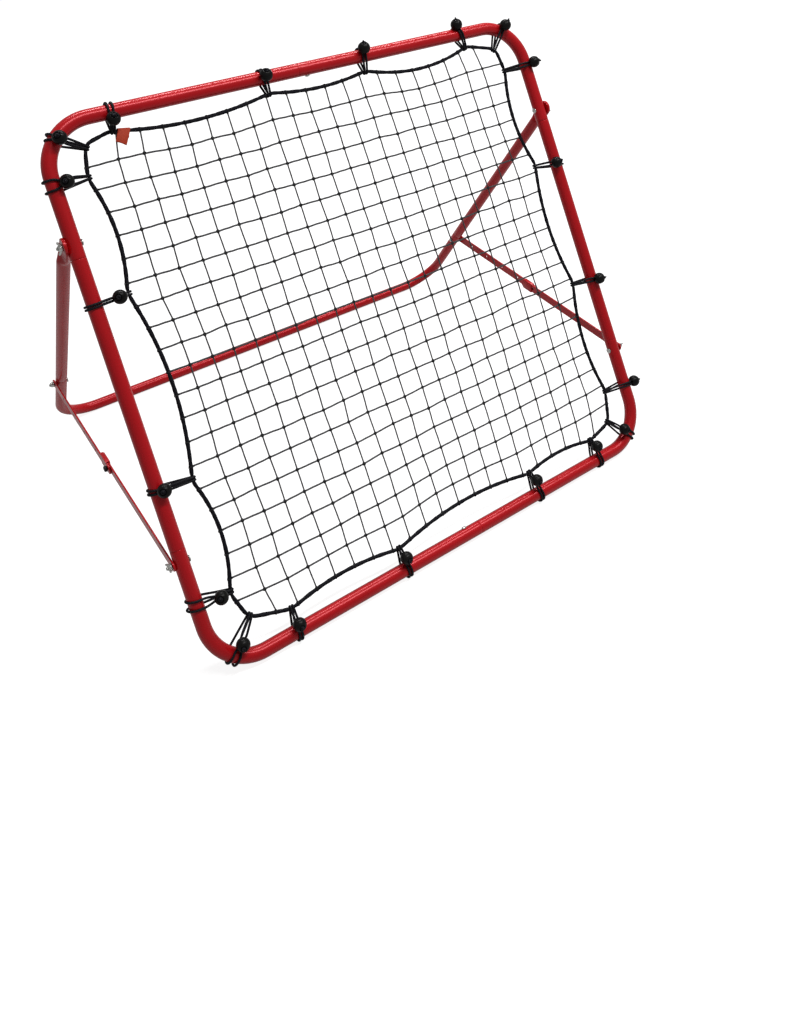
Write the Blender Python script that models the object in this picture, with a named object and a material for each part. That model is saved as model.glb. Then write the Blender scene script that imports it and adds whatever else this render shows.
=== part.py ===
"""Rebound net: a square net hung with bungees in a tube frame that leans back on a folding stand.

Metres, Z up. The net's front faces -Y and the stand is behind it, at +Y. The floor is z = 0.
Frame parts are placed in the frame's own plane: x across, z up along the plane, y behind it.
"""

from math import acos, asin, atan2, cos, pi, radians, sin, sqrt

import bmesh
import bpy
from mathutils import Matrix, Vector

for old in list(bpy.data.objects):
    bpy.data.objects.remove(old, do_unlink=True)

# Clearances
GAP = 0.0003
BRACE_GAP = 0.0005
JOINT_GAP = 0.0003
CORD_GAP = 0.0006

# Net frame
FRAME_WIDTH = 0.975
FRAME_HEIGHT = 0.910
TUBE_RADIUS = 0.0125
TUBE_WALL = 0.0015
FRAME_BEND = 0.083
LEAN = radians(31.85)
TUBE_SIDES = 14
BEND_STEPS = 5
SOCKET_DEPTH = 0.046
UPPER_SEAM_UNDER_PIVOT = 0.024
LOWER_SEAM_OVER_FOOT = 0.0217
TOP_SEAM_X = -0.025
BOTTOM_SEAM_X = 0.045
SCREW_FROM_SEAM = 0.0184
BOTTOM_SCREW_FROM_SEAM = 0.0304

# Stand
PIVOT_SHARE = 0.793407
ARM_LENGTH = 0.7324
STAND_RADIUS = 0.011
STAND_WALL = 0.0013
STAND_BEND = 0.085
EAR_THICK = 0.005
EAR_RADIUS = 0.015
EAR_FLAT = 0.020
EAR_END = 0.042
ARM_SEAM_OVER_BRACE = 0.020
FOOT_SEAM_X = -0.0225

# Braces
BRACE_FOOT_SHARE = 0.213187
BAR_WIDTH = 0.018
BAR_THICK = 0.003
BAR_PAST_PIN = 0.0114
BAR_PAST_CLIP = 0.0076
HOLE_FIRST = 0.0566
HOLE_PITCH = 0.0585
HOLE_COUNT = 5
HOLE_RADIUS = 0.0028
CLIP_LENGTH = 0.028
CLIP_WALL = 0.0016
CLIP_SLACK = 0.0006
KNOB_RADIUS = 0.0055
KNOB_HEIGHT = 0.0055
PIN_RADIUS = 0.0022

# Bolts, wing nuts and screws
BOLT_RADIUS = 0.003
BOLT_HOLE_RADIUS = 0.0033
BOLT_HEAD_RADIUS = 0.0054
BOLT_HEAD_HEIGHT = 0.0020
BOLT_TIP = 0.003
NUT_BASE_RADIUS = 0.0056
NUT_TOP_RADIUS = 0.0045
NUT_HEIGHT = 0.0062
WING_REACH = 0.0115
WING_RISE = 0.0070
WING_THICK = 0.0022
SCREW_RADIUS = 0.0021
SCREW_HEAD_RADIUS = 0.0046
SCREW_HEAD_HEIGHT = 0.0022
SCREW_LENGTH = 0.011

# Rope, net and tag
ROPE_RADIUS = 0.0034
ROPE_SIDES = 6
HOOK_STRAIGHT = 0.007
NET_CELLS = 14
TWINE_HALF = 0.0012
NET_INSET = 0.0080
NET_INSET_AT_HOOK = 0.0128
NET_TIE_GAP = 0.0008
HOOK_CLEAR = 0.018
NET_FROM_CORNER = 0.0135
TAG_SIZE = 0.020
TAG_THICK = 0.0010
TAG_FROM_HOOK = 0.0165

# Bungees
CORD_DIAMETER = 0.0045
BAND_WIDTH = 0.0092
BALL_RADIUS = 0.0117
BALL_SIDES = 8
TUBE_WRAP_STEPS = 7
ROPE_WRAP_STEPS = 3

# Places found from the sizes above
HALF_WIDTH = FRAME_WIDTH / 2
BORE_RADIUS = TUBE_RADIUS - TUBE_WALL
SPIGOT_RADIUS = BORE_RADIUS - JOINT_GAP
SPIGOT_LENGTH = SOCKET_DEPTH - 0.002
STAND_BORE = STAND_RADIUS - STAND_WALL
STAND_SPIGOT = STAND_BORE - JOINT_GAP
STAND_FLAT = STAND_RADIUS * cos(pi / TUBE_SIDES)
FLOOR_CUT = CORD_DIAMETER / 10
BOTTOM_TUBE_Z = TUBE_RADIUS + GAP + CORD_DIAMETER - FLOOR_CUT
PIVOT_UP = FRAME_HEIGHT * PIVOT_SHARE
BRACE_FOOT_UP = FRAME_HEIGHT * BRACE_FOOT_SHARE
BRACE_REACH = PIVOT_UP - BRACE_FOOT_UP
UPPER_SEAM = PIVOT_UP - UPPER_SEAM_UNDER_PIVOT
LOWER_SEAM = BRACE_FOOT_UP + LOWER_SEAM_OVER_FOOT
ARM_SEAM = BRACE_REACH - ARM_SEAM_OVER_BRACE
PIVOT_Y = PIVOT_UP * sin(LEAN)
PIVOT_Z = BOTTOM_TUBE_Z + PIVOT_UP * cos(LEAN)
ARM_ANGLE = acos((PIVOT_Z - STAND_FLAT) / ARM_LENGTH)
ARM_X = HALF_WIDTH + TUBE_RADIUS + GAP + EAR_THICK / 2
UPPER_BAR_X = ARM_X + STAND_RADIUS + BRACE_GAP + BAR_THICK / 2
LOWER_BAR_X = HALF_WIDTH + TUBE_RADIUS + BRACE_GAP + BAR_THICK / 2
BAR_STEP = BAR_THICK + BRACE_GAP
BOLTS_APART = 2 * BRACE_REACH * sin((LEAN + ARM_ANGLE) / 2)
BRACE_SPAN = sqrt(BOLTS_APART**2 + (UPPER_BAR_X - LOWER_BAR_X) ** 2)
PIN_AT = HOLE_FIRST + (HOLE_COUNT - 1) * HOLE_PITCH
PIN_UP_LOWER_BAR = BRACE_SPAN - PIN_AT
CLIP_OVER_PIN = KNOB_RADIUS * 0.5
UPPER_BAR_LENGTH = PIN_AT + BAR_PAST_PIN
LOWER_BAR_LENGTH = PIN_UP_LOWER_BAR + CLIP_OVER_PIN + CLIP_LENGTH + BAR_PAST_CLIP
BAND_THICK = CORD_DIAMETER
BALL_SEAT = BAND_THICK / 2 + BALL_RADIUS * 0.5
INNER_ENDS = HALF_WIDTH - FRAME_BEND
MIDDLE_UP = FRAME_HEIGHT / 2
HALF_STRAIGHT_UP = MIDDLE_UP - FRAME_BEND

# Rope hooks. Along a side they are shares of its straight half, counted from its middle to the
# right or up: on the rope, then on the tube. Then the rope's distance in from the tube's middle,
# how far the rope sags to the next hook, and how far out from the tube's middle the ball sits
TOP_HOOKS = [
    (-0.92250, -0.91300, 0.0315, 0.0130, -0.015),
    (-0.22744, -0.23450, 0.0301, 0.0090, 0.000),
    (0.27600, 0.27812, 0.0301, 0.0175, 0.010),
    (0.86400, 0.84600, 0.0288, 0.0000, 0.018),
]
RIGHT_HOOKS = [
    (0.97500, 0.97600, 0.0571, 0.0165, 0.007),
    (0.42050, 0.40300, 0.0549, 0.0145, -0.014),
    (-0.26900, -0.28490, 0.0520, 0.0165, 0.002),
    (-0.90188, -0.91129, 0.0549, 0.0000, 0.020),
]
BOTTOM_HOOKS = [
    (0.88405, 0.88900, 0.0433, 0.0090, -0.031),
    (0.47200, 0.48400, 0.0454, 0.0175, -0.031),
    (-0.30507, -0.30160, 0.0399, 0.0115, -0.024),
    (-0.84800, -0.85450, 0.0399, 0.0000, -0.016),
]
LEFT_HOOKS = [
    (-0.91478, -0.89247, 0.0581, 0.0155, -0.038),
    (-0.39355, -0.37640, 0.0581, 0.0185, -0.006),
    (0.45250, 0.44700, 0.0559, 0.0135, -0.038),
    (0.97180, 0.97300, 0.0544, 0.0000, -0.017),
]
# Corner hooks: the rope's distances out from the bend's centre, sideways and up or down, as shares
# of the bend's radius, the angle of the wrap round the bend, and the ball's place as above
CORNER_HOOKS = {
    "top_right": (0.18072, 0.44819, radians(60), 0.007),
    "bottom_right": (0.11928, 0.27349, radians(-53), -0.025),
    "bottom_left": (0.09880, 0.23253, radians(-129), -0.021),
    "top_left": (0.21205, 0.43253, radians(135), -0.003),
}


def material(name, color, roughness, metallic=0.0):
    made = bpy.data.materials.new(name)
    made.use_nodes = True
    shader = made.node_tree.nodes["Principled BSDF"]
    shader.inputs["Base Color"].default_value = (*color, 1.0)
    shader.inputs["Roughness"].default_value = roughness
    shader.inputs["Metallic"].default_value = metallic
    return made


RED_PAINT = material("red_powder_coat", (0.52, 0.012, 0.022), 0.32)
ZINC = material("zinc_plated_steel", (0.62, 0.62, 0.60), 0.30, 1.0)
BALL_PLASTIC = material("black_ball_plastic", (0.030, 0.030, 0.032), 0.45)
KNOB_PLASTIC = material("black_knob_plastic", (0.020, 0.020, 0.022), 0.50)
TWINE = material("black_net_twine", (0.018, 0.018, 0.020), 0.85)
ROPE = material("black_braided_rope", (0.012, 0.012, 0.016), 0.80)
TAG_CLOTH = material("red_tag_cloth", (0.60, 0.10, 0.03), 0.80)


def holder(name, location, rotation=(0, 0, 0), parent=None):
    made = bpy.data.objects.new(name, None)
    bpy.context.scene.collection.objects.link(made)
    made.location = location
    made.rotation_euler = rotation
    made.parent = parent
    return made


def add_object(name, bm, paint, location=(0, 0, 0), rotation=(0, 0, 0), parent=None):
    bmesh.ops.recalc_face_normals(bm, faces=bm.faces)
    mesh = bpy.data.meshes.new(name)
    bm.to_mesh(mesh)
    bm.free()
    mesh.materials.append(paint)
    made = bpy.data.objects.new(name, mesh)
    bpy.context.scene.collection.objects.link(made)
    made.location = location
    made.rotation_euler = rotation
    made.parent = parent
    return made


def section_round(radius, sides=TUBE_SIDES, turn=0.0):
    angles = [turn + 2 * pi * k / sides for k in range(sides)]
    return [(radius * cos(a), radius * sin(a)) for a in angles]


def section_flat(half_thick, half_wide, flatness, sides=TUBE_SIDES, turn=0.0):
    """A round section pressed flat: flatness 1 is round, more than 2 is a flat strip."""
    points = []
    for k in range(sides):
        a = turn + 2 * pi * k / sides
        pressed = max(-1.0, min(1.0, cos(a) * flatness))
        points.append((half_thick * pressed, half_wide * sin(a)))
    return points


def swept(bm, rings, normal, closed=False):
    """Skins a row of rings. A ring is a centre, the way ahead and its section across."""
    normal = Vector(normal)
    rows = []
    for center, ahead, section in rings:
        side = normal.cross(Vector(ahead)).normalized()
        row = [bm.verts.new(Vector(center) + side * a + normal * b) for a, b in section]
        rows.append(row)
    count = len(rows[0])
    joins = list(zip(rows, rows[1:]))
    if closed:
        joins.append((rows[-1], rows[0]))
    for low, high in joins:
        for k in range(count):
            after = (k + 1) % count
            bm.faces.new((low[k], low[after], high[after], high[k]))
    if not closed:
        bm.faces.new(list(reversed(rows[0])))
        bm.faces.new(rows[-1])
    return rows


def lathe(bm, axis, profile, sides, start=(0, 0, 0), closed=False, turn=0.0):
    """Rings along an axis: profile is a row of (distance along, radius)."""
    axis = Vector(axis).normalized()
    normal = Vector((0, 1, 0)) if abs(axis.y) < 0.7 else Vector((1, 0, 0))
    normal = (normal - axis * normal.dot(axis)).normalized()
    rings = [
        (Vector(start) + axis * along, axis, section_round(radius, sides, turn))
        for along, radius in profile
    ]
    swept(bm, rings, normal, closed)


def box(bm, low, high):
    made = bmesh.ops.create_cube(bm, size=1.0)
    low = Vector(low)
    high = Vector(high)
    size = high - low
    middle = (high + low) / 2
    for vert in made["verts"]:
        vert.co = Vector([vert.co[i] * size[i] + middle[i] for i in range(3)])


def combine(target, other, operation):
    """Joins or cuts with the exact solver and drops the tool object."""
    modifier = target.modifiers.new(operation.lower(), "BOOLEAN")
    modifier.operation = operation
    modifier.solver = "EXACT"
    modifier.object = other
    bpy.context.view_layer.update()
    graph = bpy.context.evaluated_depsgraph_get()
    result = bpy.data.meshes.new_from_object(target.evaluated_get(graph))
    target.modifiers.remove(modifier)
    target.data = result
    bpy.data.objects.remove(other, do_unlink=True)


def cut_round(target, center, axis, radius, length, sides=12):
    """Cuts a round hole. The centre and the axis are in the target's parent space."""
    bm = bmesh.new()
    lathe(bm, axis, [(-length / 2, radius), (length / 2, radius)], sides, center, turn=0.1)
    tool = add_object("hole_tool", bm, target.data.materials[0], parent=target.parent)
    combine(target, tool, "DIFFERENCE")


def bent_path(start, corner, end, radius, steps=BEND_STEPS):
    """Points and headings from start to end round one square corner."""
    start = Vector(start)
    corner = Vector(corner)
    end = Vector(end)
    first = (corner - start).normalized()
    second = (end - corner).normalized()
    center = corner - first * radius + second * radius
    path = [(start, first)]
    for k in range(steps + 1):
        a = pi / 2 * k / steps
        point = center - second * radius * cos(a) + first * radius * sin(a)
        path.append((point, first * cos(a) + second * sin(a)))
    path.append((end, second))
    return path


def tube_rings(path, radii, ends, depths, turn=0.0):
    """Rings of a tube whose ends are a socket, a spigot or plain."""
    outer, bore, spigot = radii
    rings = [(point, ahead, section_round(outer, turn=turn)) for point, ahead in path]
    for at_start, kind in ((True, ends[0]), (False, ends[1])):
        point, ahead = path[0] if at_start else path[-1]
        way = 1 if at_start else -1
        if kind == "socket":
            inner = section_round(bore, turn=turn)
            extra = [(point, ahead, inner), (point + ahead * depths[0] * way, ahead, inner)]
        elif kind == "spigot":
            inner = section_round(spigot, turn=turn)
            extra = [(point, ahead, inner), (point - ahead * depths[1] * way, ahead, inner)]
        else:
            extra = []
        rings = extra[::-1] + rings if at_start else rings + extra
    return rings


FRAME_RADII = (TUBE_RADIUS, BORE_RADIUS, SPIGOT_RADIUS)
STAND_RADII = (STAND_RADIUS, STAND_BORE, STAND_SPIGOT)
DEPTHS = (SOCKET_DEPTH, SPIGOT_LENGTH)
BEHIND = Vector((0, 1, 0))
HALF_FACET = pi / TUBE_SIDES

frame_plane = holder("frame_plane", (0, 0, BOTTOM_TUBE_Z), (-LEAN, 0, 0))
stand_pivot = holder("stand_pivot", (0, PIVOT_Y, PIVOT_Z), (ARM_ANGLE, 0, 0))


def frame_tube(name, path, ends):
    bm = bmesh.new()
    swept(bm, tube_rings(path, FRAME_RADII, ends, DEPTHS, HALF_FACET), BEHIND)
    return add_object(name, bm, RED_PAINT, parent=frame_plane)


def bolt_hole_in(target, side, height):
    cut_round(target, (side * HALF_WIDTH, 0, height), (1, 0, 0), BOLT_HOLE_RADIUS, 4 * TUBE_RADIUS)


# Net frame: six tubes
for side, label in ((1, "right"), (-1, "left")):
    edge = side * HALF_WIDTH
    top_end = "socket" if side > 0 else "spigot"
    upper = frame_tube(
        "frame_upper_" + label,
        bent_path(
            (TOP_SEAM_X, 0, FRAME_HEIGHT),
            (edge, 0, FRAME_HEIGHT),
            (edge, 0, UPPER_SEAM),
            FRAME_BEND,
        ),
        (top_end, "socket"),
    )
    bolt_hole_in(upper, side, PIVOT_UP)
    up = Vector((0, 0, 1))
    middle = frame_tube(
        "frame_side_" + label,
        [(Vector((edge, 0, LOWER_SEAM + GAP)), up), (Vector((edge, 0, UPPER_SEAM - GAP)), up)],
        ("spigot", "spigot"),
    )
    bolt_hole_in(middle, side, PIVOT_UP)
    bolt_hole_in(middle, side, BRACE_FOOT_UP)
    bottom_end = "spigot" if side > 0 else "socket"
    lower = frame_tube(
        "frame_lower_" + label,
        bent_path((BOTTOM_SEAM_X, 0, 0), (edge, 0, 0), (edge, 0, LOWER_SEAM), FRAME_BEND),
        (bottom_end, "socket"),
    )
    bolt_hole_in(lower, side, BRACE_FOOT_UP)

# Stand: two arms and two halves of the foot
for side, label in ((1, "right"), (-1, "left")):
    turn = side * ARM_ANGLE + HALF_FACET
    down = Vector((0, 0, -1))
    rings = []
    for angle in (75, 52, 28, 0):
        a = radians(angle)
        center = (side * ARM_X, 0, EAR_RADIUS * sin(a))
        rings.append((center, down, section_flat(EAR_THICK / 2, EAR_RADIUS * cos(a), 3, turn=turn)))
    flat_end = section_flat(EAR_THICK / 2, EAR_RADIUS, 3, turn=turn)
    rings.append(((side * ARM_X, 0, -EAR_FLAT), down, flat_end))
    for drop, section in (
        (EAR_END, section_round(STAND_RADIUS, turn=turn)),
        (ARM_SEAM - GAP, section_round(STAND_RADIUS, turn=turn)),
        (ARM_SEAM - GAP, section_round(STAND_SPIGOT, turn=turn)),
        (ARM_SEAM + SPIGOT_LENGTH, section_round(STAND_SPIGOT, turn=turn)),
    ):
        rings.append(((side * ARM_X, 0, -drop), down, section))
    bm = bmesh.new()
    swept(bm, rings, BEHIND)
    arm = add_object("stand_arm_" + label, bm, RED_PAINT, parent=stand_pivot)
    for drop in (0, BRACE_REACH):
        cut_round(arm, (side * ARM_X, 0, -drop), (1, 0, 0), BOLT_HOLE_RADIUS, 4 * STAND_RADIUS)
    path = bent_path(
        (side * ARM_X, 0, -ARM_SEAM),
        (side * ARM_X, 0, -ARM_LENGTH),
        (FOOT_SEAM_X, 0, -ARM_LENGTH),
        STAND_BEND,
    )
    bm = bmesh.new()
    foot_end = "socket" if side > 0 else "spigot"
    swept(bm, tube_rings(path, STAND_RADII, ("socket", foot_end), DEPTHS, turn), BEHIND)
    foot = add_object("rear_foot_" + label, bm, RED_PAINT, parent=stand_pivot)
    cut_round(foot, (side * ARM_X, 0, -BRACE_REACH), (1, 0, 0), BOLT_HOLE_RADIUS, 4 * STAND_RADIUS)


# Braces
def brace_plane(side):
    """The brace's two bolts in the world and the turn that lays local Z along it, foot to top."""
    foot_y = BRACE_FOOT_UP * sin(LEAN)
    foot_z = BOTTOM_TUBE_Z + BRACE_FOOT_UP * cos(LEAN)
    foot = Vector((side * LOWER_BAR_X, foot_y, foot_z))
    top_y = PIVOT_Y + BRACE_REACH * sin(ARM_ANGLE)
    top_z = PIVOT_Z - BRACE_REACH * cos(ARM_ANGLE)
    top = Vector((side * UPPER_BAR_X, top_y, top_z))
    along = (top - Vector((side * BAR_STEP, 0, 0)) - foot).normalized()
    out = Vector((1, 0, 0))
    out = (out - along * out.dot(along)).normalized()
    turn = Matrix((out, along.cross(out), along)).transposed().to_euler()
    return foot, top, turn


def strip(bm, length, way):
    """A flat bar with round ends: the bolt hole's middle is the origin, the bar runs along way."""
    half = BAR_WIDTH / 2
    outline = []
    for k in range(7):
        a = pi * k / 6
        outline.append((half * cos(a), -half * sin(a) * way))
    for k in range(5):
        a = pi * k / 4
        outline.append((-half * cos(a), (length - half * 0.35 + half * 0.35 * sin(a)) * way))
    front = [bm.verts.new((BAR_THICK / 2, y, z)) for y, z in outline]
    back = [bm.verts.new((-BAR_THICK / 2, y, z)) for y, z in outline]
    bm.faces.new(front)
    bm.faces.new(list(reversed(back)))
    count = len(outline)
    for k in range(count):
        after = (k + 1) % count
        bm.faces.new((front[k], back[k], back[after], front[after]))


def cut_in_place(target, local_center, radius, length, sides=8):
    """Cuts a round hole across the thickness at a point in the target's own space."""
    bm = bmesh.new()
    lathe(bm, (1, 0, 0), [(-length / 2, radius), (length / 2, radius)], sides, local_center, turn=0.2)
    tool = add_object("hole_tool", bm, RED_PAINT, target.location, target.rotation_euler)
    combine(target, tool, "DIFFERENCE")


for side, label in ((1, "right"), (-1, "left")):
    foot, top, turn = brace_plane(side)
    bm = bmesh.new()
    strip(bm, UPPER_BAR_LENGTH, -1)
    bar = add_object("brace_upper_bar_" + label, bm, RED_PAINT, top, turn)
    cut_in_place(bar, (0, 0, 0), BOLT_HOLE_RADIUS, BAR_WIDTH)
    for k in range(HOLE_COUNT):
        cut_in_place(bar, (0, 0, -HOLE_FIRST - k * HOLE_PITCH), HOLE_RADIUS, BAR_WIDTH)
    bm = bmesh.new()
    strip(bm, LOWER_BAR_LENGTH, 1)
    bar = add_object("brace_lower_bar_" + label, bm, RED_PAINT, foot, turn)
    clip_low = PIN_UP_LOWER_BAR + CLIP_OVER_PIN
    inner = BAR_WIDTH / 2 + CLIP_SLACK
    outer = inner + CLIP_WALL
    floor_in = -side * BAR_THICK / 2
    clip_parts = (
        ((floor_in - side * CLIP_WALL, -outer), (floor_in + side * 0.0004, outer)),
        ((floor_in - side * CLIP_WALL, inner), (side * (BAR_STEP + BAR_THICK / 2), outer)),
        ((floor_in - side * CLIP_WALL, -outer), (side * (BAR_STEP + BAR_THICK / 2), -inner)),
    )
    for (x1, y1), (x2, y2) in clip_parts:
        bm = bmesh.new()
        low = (min(x1, x2), min(y1, y2), clip_low)
        high = (max(x1, x2), max(y1, y2), clip_low + CLIP_LENGTH)
        box(bm, low, high)
        tool = add_object("clip_tool", bm, RED_PAINT, foot, turn)
        combine(bar, tool, "UNION")
    cut_in_place(bar, (0, 0, 0), BOLT_HOLE_RADIUS, BAR_WIDTH)
    cut_in_place(bar, (0, 0, PIN_UP_LOWER_BAR), HOLE_RADIUS, BAR_WIDTH)
    face = BAR_THICK / 2 + GAP
    profile = [
        (-BAR_THICK / 2, PIN_RADIUS),
        (face, PIN_RADIUS),
        (face, KNOB_RADIUS * 0.8),
        (face + KNOB_HEIGHT * 0.3, KNOB_RADIUS),
        (face + KNOB_HEIGHT * 0.8, KNOB_RADIUS),
        (face + KNOB_HEIGHT, KNOB_RADIUS * 0.7),
    ]
    bm = bmesh.new()
    lathe(bm, (side, 0, 0), profile, 12)
    shift = turn.to_matrix() @ Vector((0, 0, -PIN_AT))
    add_object("brace_knob_" + label, bm, KNOB_PLASTIC, top + shift, turn)


# Bolts with wing nuts
def bolt(name, parent, place, side, inner_face, nut_face, paint=ZINC):
    """A round-headed bolt: the head is under the tube's inner face, the tip is past the nut."""
    x = place[0]
    head = inner_face - x - GAP
    profile = [
        (head - BOLT_HEAD_HEIGHT, BOLT_HEAD_RADIUS * 0.45),
        (head - BOLT_HEAD_HEIGHT * 0.55, BOLT_HEAD_RADIUS * 0.85),
        (head, BOLT_HEAD_RADIUS),
        (head, BOLT_RADIUS),
        (nut_face - x + NUT_HEIGHT + BOLT_TIP - 0.001, BOLT_RADIUS),
        (nut_face - x + NUT_HEIGHT + BOLT_TIP, BOLT_RADIUS * 0.7),
    ]
    bm = bmesh.new()
    lathe(bm, (side, 0, 0), profile, 10)
    return add_object(name, bm, paint, (side * x, place[1], place[2]), parent=parent)


def wing_nut(name, parent, place, side, face, spin):
    """The hub is a ring round the bolt and the two wings rise from it."""
    bm = bmesh.new()
    start = GAP
    profile = [
        (start, BOLT_HOLE_RADIUS),
        (start, NUT_BASE_RADIUS),
        (start + NUT_HEIGHT, NUT_TOP_RADIUS),
        (start + NUT_HEIGHT, BOLT_HOLE_RADIUS),
    ]
    lathe(bm, (side, 0, 0), profile, 10, closed=True)
    turn = (side * spin, 0, 0)
    seat = (side * face, place[1], place[2])
    nut = add_object(name, bm, ZINC, seat, turn, parent)
    for way in (1, -1):
        root = (BOLT_HOLE_RADIUS + NUT_TOP_RADIUS) / 2
        outline = [(root, WING_RISE * 0.10), (root, WING_RISE * 0.48)]
        for reach, rise in (
            (0.58, 0.83),
            (0.76, 1.00),
            (0.94, 0.96),
            (1.00, 0.74),
            (0.89, 0.43),
            (0.60, 0.14),
        ):
            outline.append((WING_REACH * reach, WING_RISE * rise))
        bm = bmesh.new()
        near = []
        far = []
        for out, rise in outline:
            x = side * (start + rise)
            near.append(bm.verts.new((x, way * out, -WING_THICK / 2)))
            far.append(bm.verts.new((x, way * out, WING_THICK / 2)))
        bm.faces.new(near)
        bm.faces.new(list(reversed(far)))
        for k in range(len(outline)):
            after = (k + 1) % len(outline)
            bm.faces.new((near[k], far[k], far[after], near[after]))
        wing = add_object("wing_tool", bm, ZINC, seat, turn, parent)
        combine(nut, wing, "UNION")
    return nut


inner_face = HALF_WIDTH - TUBE_RADIUS
for side, label in ((1, "right"), (-1, "left")):
    pivot = (HALF_WIDTH, 0, PIVOT_UP)
    bolt("pivot_bolt_" + label, frame_plane, pivot, side, inner_face, ARM_X + EAR_THICK / 2)
    wing_nut("pivot_wing_nut_" + label, frame_plane, pivot, side, ARM_X + EAR_THICK / 2, radians(62))
    low = (HALF_WIDTH, 0, BRACE_FOOT_UP)
    face = LOWER_BAR_X + BAR_THICK / 2 + BRACE_GAP / 2
    bolt("brace_foot_bolt_" + label, frame_plane, low, side, inner_face, face)
    wing_nut("brace_foot_wing_nut_" + label, frame_plane, low, side, face, radians(155))
    high = (ARM_X, 0, -BRACE_REACH)
    face = UPPER_BAR_X + BAR_THICK / 2 + BRACE_GAP / 2
    bolt("brace_top_bolt_" + label, stand_pivot, high, side, ARM_X - STAND_RADIUS, face)
    wing_nut("brace_top_wing_nut_" + label, stand_pivot, high, side, face, radians(75))


# Screws that lock the tube joints
def joint_screw(name, parent, place, way, tube_radius):
    start = tube_radius + GAP
    profile = [
        (start + SCREW_HEAD_HEIGHT, SCREW_HEAD_RADIUS * 0.5),
        (start + SCREW_HEAD_HEIGHT * 0.55, SCREW_HEAD_RADIUS * 0.9),
        (start, SCREW_HEAD_RADIUS),
        (start, SCREW_RADIUS),
        (start - SCREW_LENGTH, SCREW_RADIUS),
    ]
    bm = bmesh.new()
    lathe(bm, way, profile, 10)
    return add_object(name, bm, ZINC, place, parent=parent)


def screw_hole(owner, place, way, tube_radius):
    """A blind hole from the tube's skin inward, a little deeper and wider than the screw."""
    middle = Vector(place) + Vector(way) * (tube_radius + 0.002 - (SCREW_LENGTH + 0.005) / 2)
    cut_round(owner, middle, way, SCREW_RADIUS + GAP, SCREW_LENGTH + 0.005, sides=10)


in_top = (TOP_SEAM_X + SCREW_FROM_SEAM, 0, FRAME_HEIGHT)
in_bottom = (BOTTOM_SEAM_X - BOTTOM_SCREW_FROM_SEAM, 0, 0)
in_foot = (0.0, 0, -ARM_LENGTH)
floor_up = (0, sin(ARM_ANGLE), cos(ARM_ANGLE))
for name, parent, place, way, radius, owners in (
    ("top_joint_screw", frame_plane, in_top, (0, 0, -1), TUBE_RADIUS, "frame_upper_"),
    ("bottom_joint_screw", frame_plane, in_bottom, (0, 0, 1), TUBE_RADIUS, "frame_lower_"),
    ("foot_joint_screw", stand_pivot, in_foot, floor_up, STAND_RADIUS, "rear_foot_"),
):
    joint_screw(name, parent, place, way, radius)
    for label in ("left", "right"):
        screw_hole(bpy.data.objects[owners + label], place, way, radius)


# Hooks: where each bungee holds the rope and wraps the tube
def hook(rope, tube, sag, ball):
    return {"rope": Vector(rope), "tube": Vector(tube), "sag": sag, "ball": ball}


def corner_hook(label):
    out, rise, angle, ball = CORNER_HOOKS[label]
    side = 1 if "right" in label else -1
    over = 1 if "top" in label else -1
    center = Vector((side * INNER_ENDS, MIDDLE_UP + over * HALF_STRAIGHT_UP))
    rope = center + Vector((side * out, over * rise)) * FRAME_BEND
    tube = center + Vector((cos(angle), sin(angle))) * FRAME_BEND
    return hook(rope, tube, 0.0, ball)


def side_hooks(label, rows, over, side):
    """Hooks of one side. over is 1 for the top and -1 for the bottom, side 1 for the right."""
    for number, (on_rope, on_tube, inward, sag, ball) in enumerate(rows, 1):
        if over:
            rope = (on_rope * INNER_ENDS, MIDDLE_UP + over * (MIDDLE_UP - inward))
            tube = (on_tube * INNER_ENDS, MIDDLE_UP + over * MIDDLE_UP)
        else:
            rope = (side * (HALF_WIDTH - inward), MIDDLE_UP + on_rope * HALF_STRAIGHT_UP)
            tube = (side * HALF_WIDTH, MIDDLE_UP + on_tube * HALF_STRAIGHT_UP)
        hooks["bungee_%s_%d" % (label, number)] = hook(rope, tube, sag, ball)


hooks = {}
side_hooks("top", TOP_HOOKS, 1, 0)
hooks["bungee_corner_top_right"] = corner_hook("top_right")
side_hooks("right", RIGHT_HOOKS, 0, 1)
hooks["bungee_corner_bottom_right"] = corner_hook("bottom_right")
side_hooks("bottom", BOTTOM_HOOKS, -1, 0)
hooks["bungee_corner_bottom_left"] = corner_hook("bottom_left")
side_hooks("left", LEFT_HOOKS, 0, -1)
hooks["bungee_corner_top_left"] = corner_hook("top_left")


# Border rope: one closed cord through all the hooks, with a short straight at each
def rope_route():
    order = list(hooks.values())
    route = []
    center = Vector((0, FRAME_HEIGHT / 2))
    for one, after in zip(order, order[1:] + order[:1]):
        out = (one["tube"] - one["rope"]).normalized()
        out_after = (after["tube"] - after["rope"]).normalized()
        along = Vector((out.y, -out.x)) * HOOK_STRAIGHT
        along_after = Vector((out_after.y, -out_after.x)) * HOOK_STRAIGHT
        route.append(one["rope"] - along)
        route.append(one["rope"] + along)
        if one["sag"] > 0:
            start = one["rope"] + along
            end = after["rope"] - along_after
            span = (end - start).normalized()
            inward = Vector((-span.y, span.x))
            if inward.dot(center - start) < 0:
                inward = -inward
            for f in (0.25, 0.5, 0.75):
                route.append(start.lerp(end, f) + inward * one["sag"] * 4 * f * (1 - f))
    return route


def closed_rings(points, section):
    """Rings along a closed flat route, each across the mean of the ways in and out."""
    rings = []
    count = len(points)
    for k in range(count):
        way_in = (points[k] - points[k - 1]).normalized()
        way_out = (points[(k + 1) % count] - points[k]).normalized()
        rings.append((points[k], (way_in + way_out).normalized(), section))
    return rings


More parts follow.
